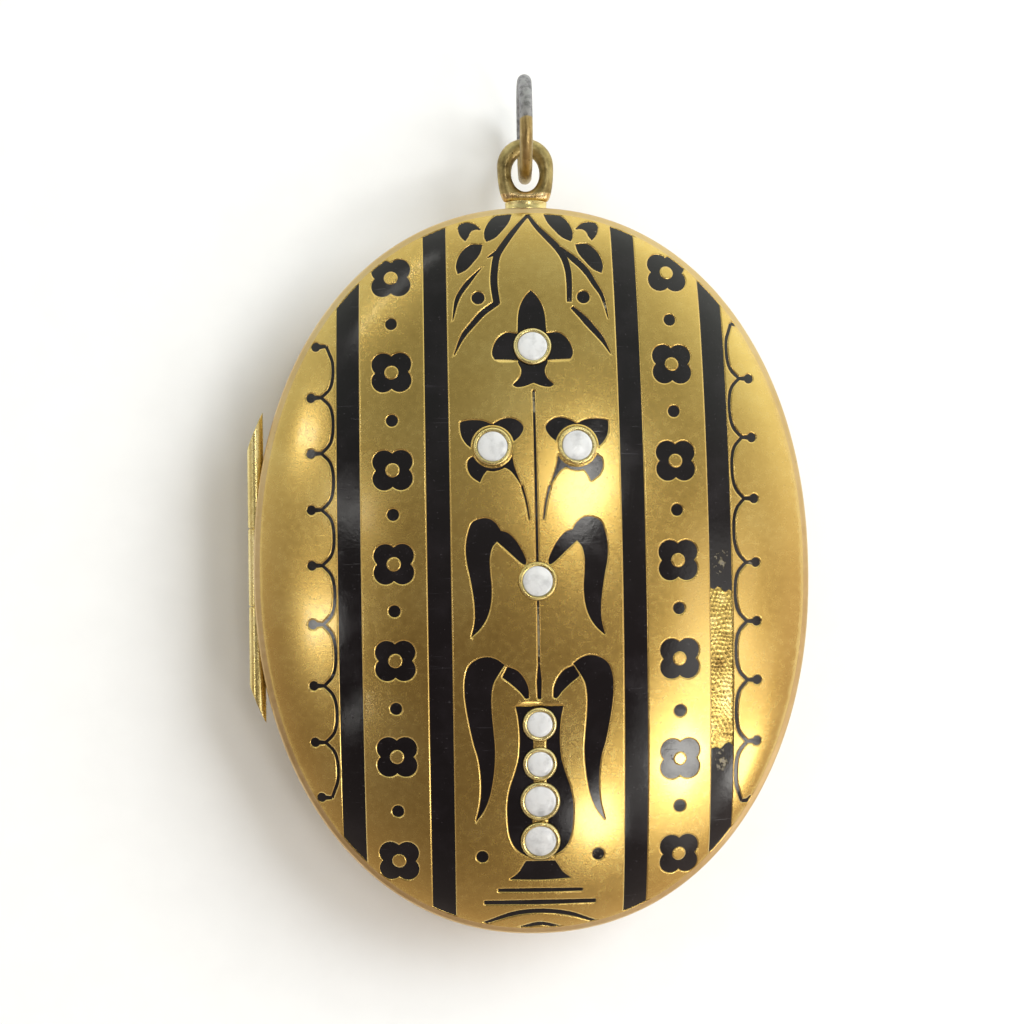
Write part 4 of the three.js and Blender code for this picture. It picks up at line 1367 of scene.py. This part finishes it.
low, high, middle = box_mm("jump_ring")
RING_WIRE = 0.9
RING_TURN = math.radians(-1.2)  # about the locket's long axis
ring_radius = (high[1] - low[1]) / 2 - RING_WIRE / 2
ring_across = np.array((math.cos(RING_TURN), 0, -math.sin(RING_TURN)))
ring_front = np.array((math.sin(RING_TURN), 0, math.cos(RING_TURN)))


def ring_centre(turn):
    outward = math.cos(turn) * np.array((0, 1.0, 0)) + math.sin(turn) * ring_front
    return middle + ring_radius * outward, outward, ring_across


def ring_section(turn):
    """Half widths of the wire. It is worn most of all at the bottom, where it hangs in the bail."""
    top, bottom = max(0.0, math.cos(turn)), max(0.0, -math.cos(turn))
    return RING_WIRE / 2 * (0.97 - 0.08 * bottom**3), RING_WIRE / 2 * (0.9 + 0.1 * top**2)


ring_metal = gold_material("ring_metal", RING_TONES, (0.28, 0.45), 0.015, 0.6, 0.6)
two_tones(ring_metal, middle[1], SOLDER_TONES, (0.5, 0.7), 1)
ring_mesh = swept_ring(ring_centre, ring_section, 160, 32)
add_fine("jump_ring", ring_mesh, ring_metal, "jump_ring", "antique_brass")


# ---------- studio ----------
FLOOR_HALF = 2.0  # in metres, like the other sizes of the studio
FLOOR_Z = -0.0001
LIT_POINT = (0, 0, 0.008)
LAMP_COLOUR = (1, 0.98, 0.93)
LAMP_DISTANCE = 0.5
FLOOR_FILL = 4.6
WORLD_OVERHEAD = 0.34
WORLD_LOW = 1.05


def add_floor():
    """A white table under the locket."""
    mesh = bpy.data.meshes.new("floor")
    corners = ((-1, -1), (1, -1), (1, 1), (-1, 1))
    mesh.from_pydata([(FLOOR_HALF * x, FLOOR_HALF * y, FLOOR_Z) for x, y in corners], [], [(0, 1, 2, 3)])
    mesh.materials.append(floor_material())
    floor = bpy.data.objects.new("floor", mesh)
    bpy.context.scene.collection.objects.link(floor)


def add_light(name, zenith, azimuth, distance, size, power, colour, roll=0.0):
    """A soft rectangular light on the locket.

    Zenith and azimuth are degrees from straight up and round from +X. Distance and size are in metres.
    """
    data = bpy.data.lights.new(name, "AREA")
    data.shape = "RECTANGLE"
    data.size, data.size_y = size
    data.energy = power
    data.color = colour
    light = bpy.data.objects.new(name, data)
    tilt, heading = math.radians(zenith), math.radians(azimuth)
    way = Vector((math.sin(tilt) * math.cos(heading), math.sin(tilt) * math.sin(heading), math.cos(tilt)))
    light.location = way * distance
    aim = (Vector(LIT_POINT) - light.location).to_track_quat("-Z", "Y").to_matrix()
    light.rotation_euler = (aim @ Matrix.Rotation(math.radians(roll), 3, "Z")).to_euler()
    bpy.context.scene.collection.objects.link(light)
    return light


add_floor()
# The metal doesn't reflect this light: it whitens the floor and leaves the gold as it is.
floor_fill = add_light("floor_fill", 52, 28, 0.7, (0.45, 0.45), FLOOR_FILL, (0.90, 0.95, 1.0))
floor_fill.visible_glossy = False
# Each reflection: name, zenith, azimuth, size at the light in metres, brightness, roll.
REFLECTIONS = [
    ("lamp_right", 41, -40, (0.08, 0.08), 10.0, 0),
    ("lamp_right_low", 59, -31, (0.07, 0.08), 7.0, 0),
    ("panel_right", 44, -32, (0.3, 0.26), 0.9, 0),
    ("panel_right_high", 41, -10, (0.16, 0.16), 0.8, 0),
    ("lamp_centre", 15, 38, (0.07, 0.085), 8.5, 0),
    ("lamp_low", 37, -68, (0.06, 0.06), 10.0, 0),
    ("lamp_left_high", 51, 158, (0.03, 0.07), 8.0, 0),
    ("lamp_left_low", 42, -171, (0.04, 0.08), 7.0, 0),
    ("window_left", 34, 168, (0.035, 0.1), 2.4, 0),
    ("tube_high", 50, 122, (0.2, 0.004), 14.0, 12),
    ("tube_low", 38, -150, (0.004, 0.08), 10.0, 0),
]
for name, zenith, azimuth, size, brightness, roll in REFLECTIONS:
    power = brightness * math.pi * size[0] * size[1]
    add_light(name, zenith, azimuth, LAMP_DISTANCE, size, power, LAMP_COLOUR, roll)


def build_world():
    """A pale studio: dim straight above and bright low down, most of all on the right and at the top."""
    world = bpy.data.worlds.new("studio")
    world.use_nodes = True
    tree = Tree(world.node_tree, world.node_tree.nodes["Background"])
    way = tree.add("SeparateXYZ", Vector=tree.add("TexCoord").outputs["Generated"]).outputs
    low_down = tree.span(way["Z"], 0.8, 0.4, WORLD_OVERHEAD, WORLD_LOW)
    to_right = tree.span(way["X"], -0.8, 0.5, 0.62, 1.1)
    to_top = tree.span(way["Y"], -0.2, 0.35, 0.62, 1.2)
    tree.feed("Strength", tree.times(low_down, tree.times(to_right, to_top)))
    up_page = tree.span(way["Y"], -0.15, 0.35)
    tree.feed("Color", tree.mix(up_page, (1.0, 0.81, 0.68), (0.96, 1.0, 0.88)))
    bpy.context.scene.world = world


build_world()
bpy.context.scene.view_settings.view_transform = "Standard"

# ---------- camera ----------
# Fitted to the photograph.
CAMERA_PLACE = (-5.625, 0.648, 98.2)
CAMERA_TURNS = (-1.77, 2.69, 1.0)  # about X, Y and Z, in degrees
camera_data = bpy.data.cameras.new("camera")
camera_data.sensor_width = 36
camera_data.lens = 52.05
camera_data.clip_start = 0.001
camera_data.clip_end = 10
camera = bpy.data.objects.new("camera", camera_data)
bpy.context.scene.collection.objects.link(camera)
turn_x, turn_y, turn_z = (math.radians(a) for a in CAMERA_TURNS)
looking = Matrix.Rotation(turn_z, 3, "Z") @ Matrix.Rotation(turn_x, 3, "X") @ Matrix.Rotation(turn_y, 3, "Y")
camera.matrix_world = Matrix.Translation(Vector(CAMERA_PLACE) * MM) @ looking.transposed().to_4x4()
bpy.context.scene.camera = camera
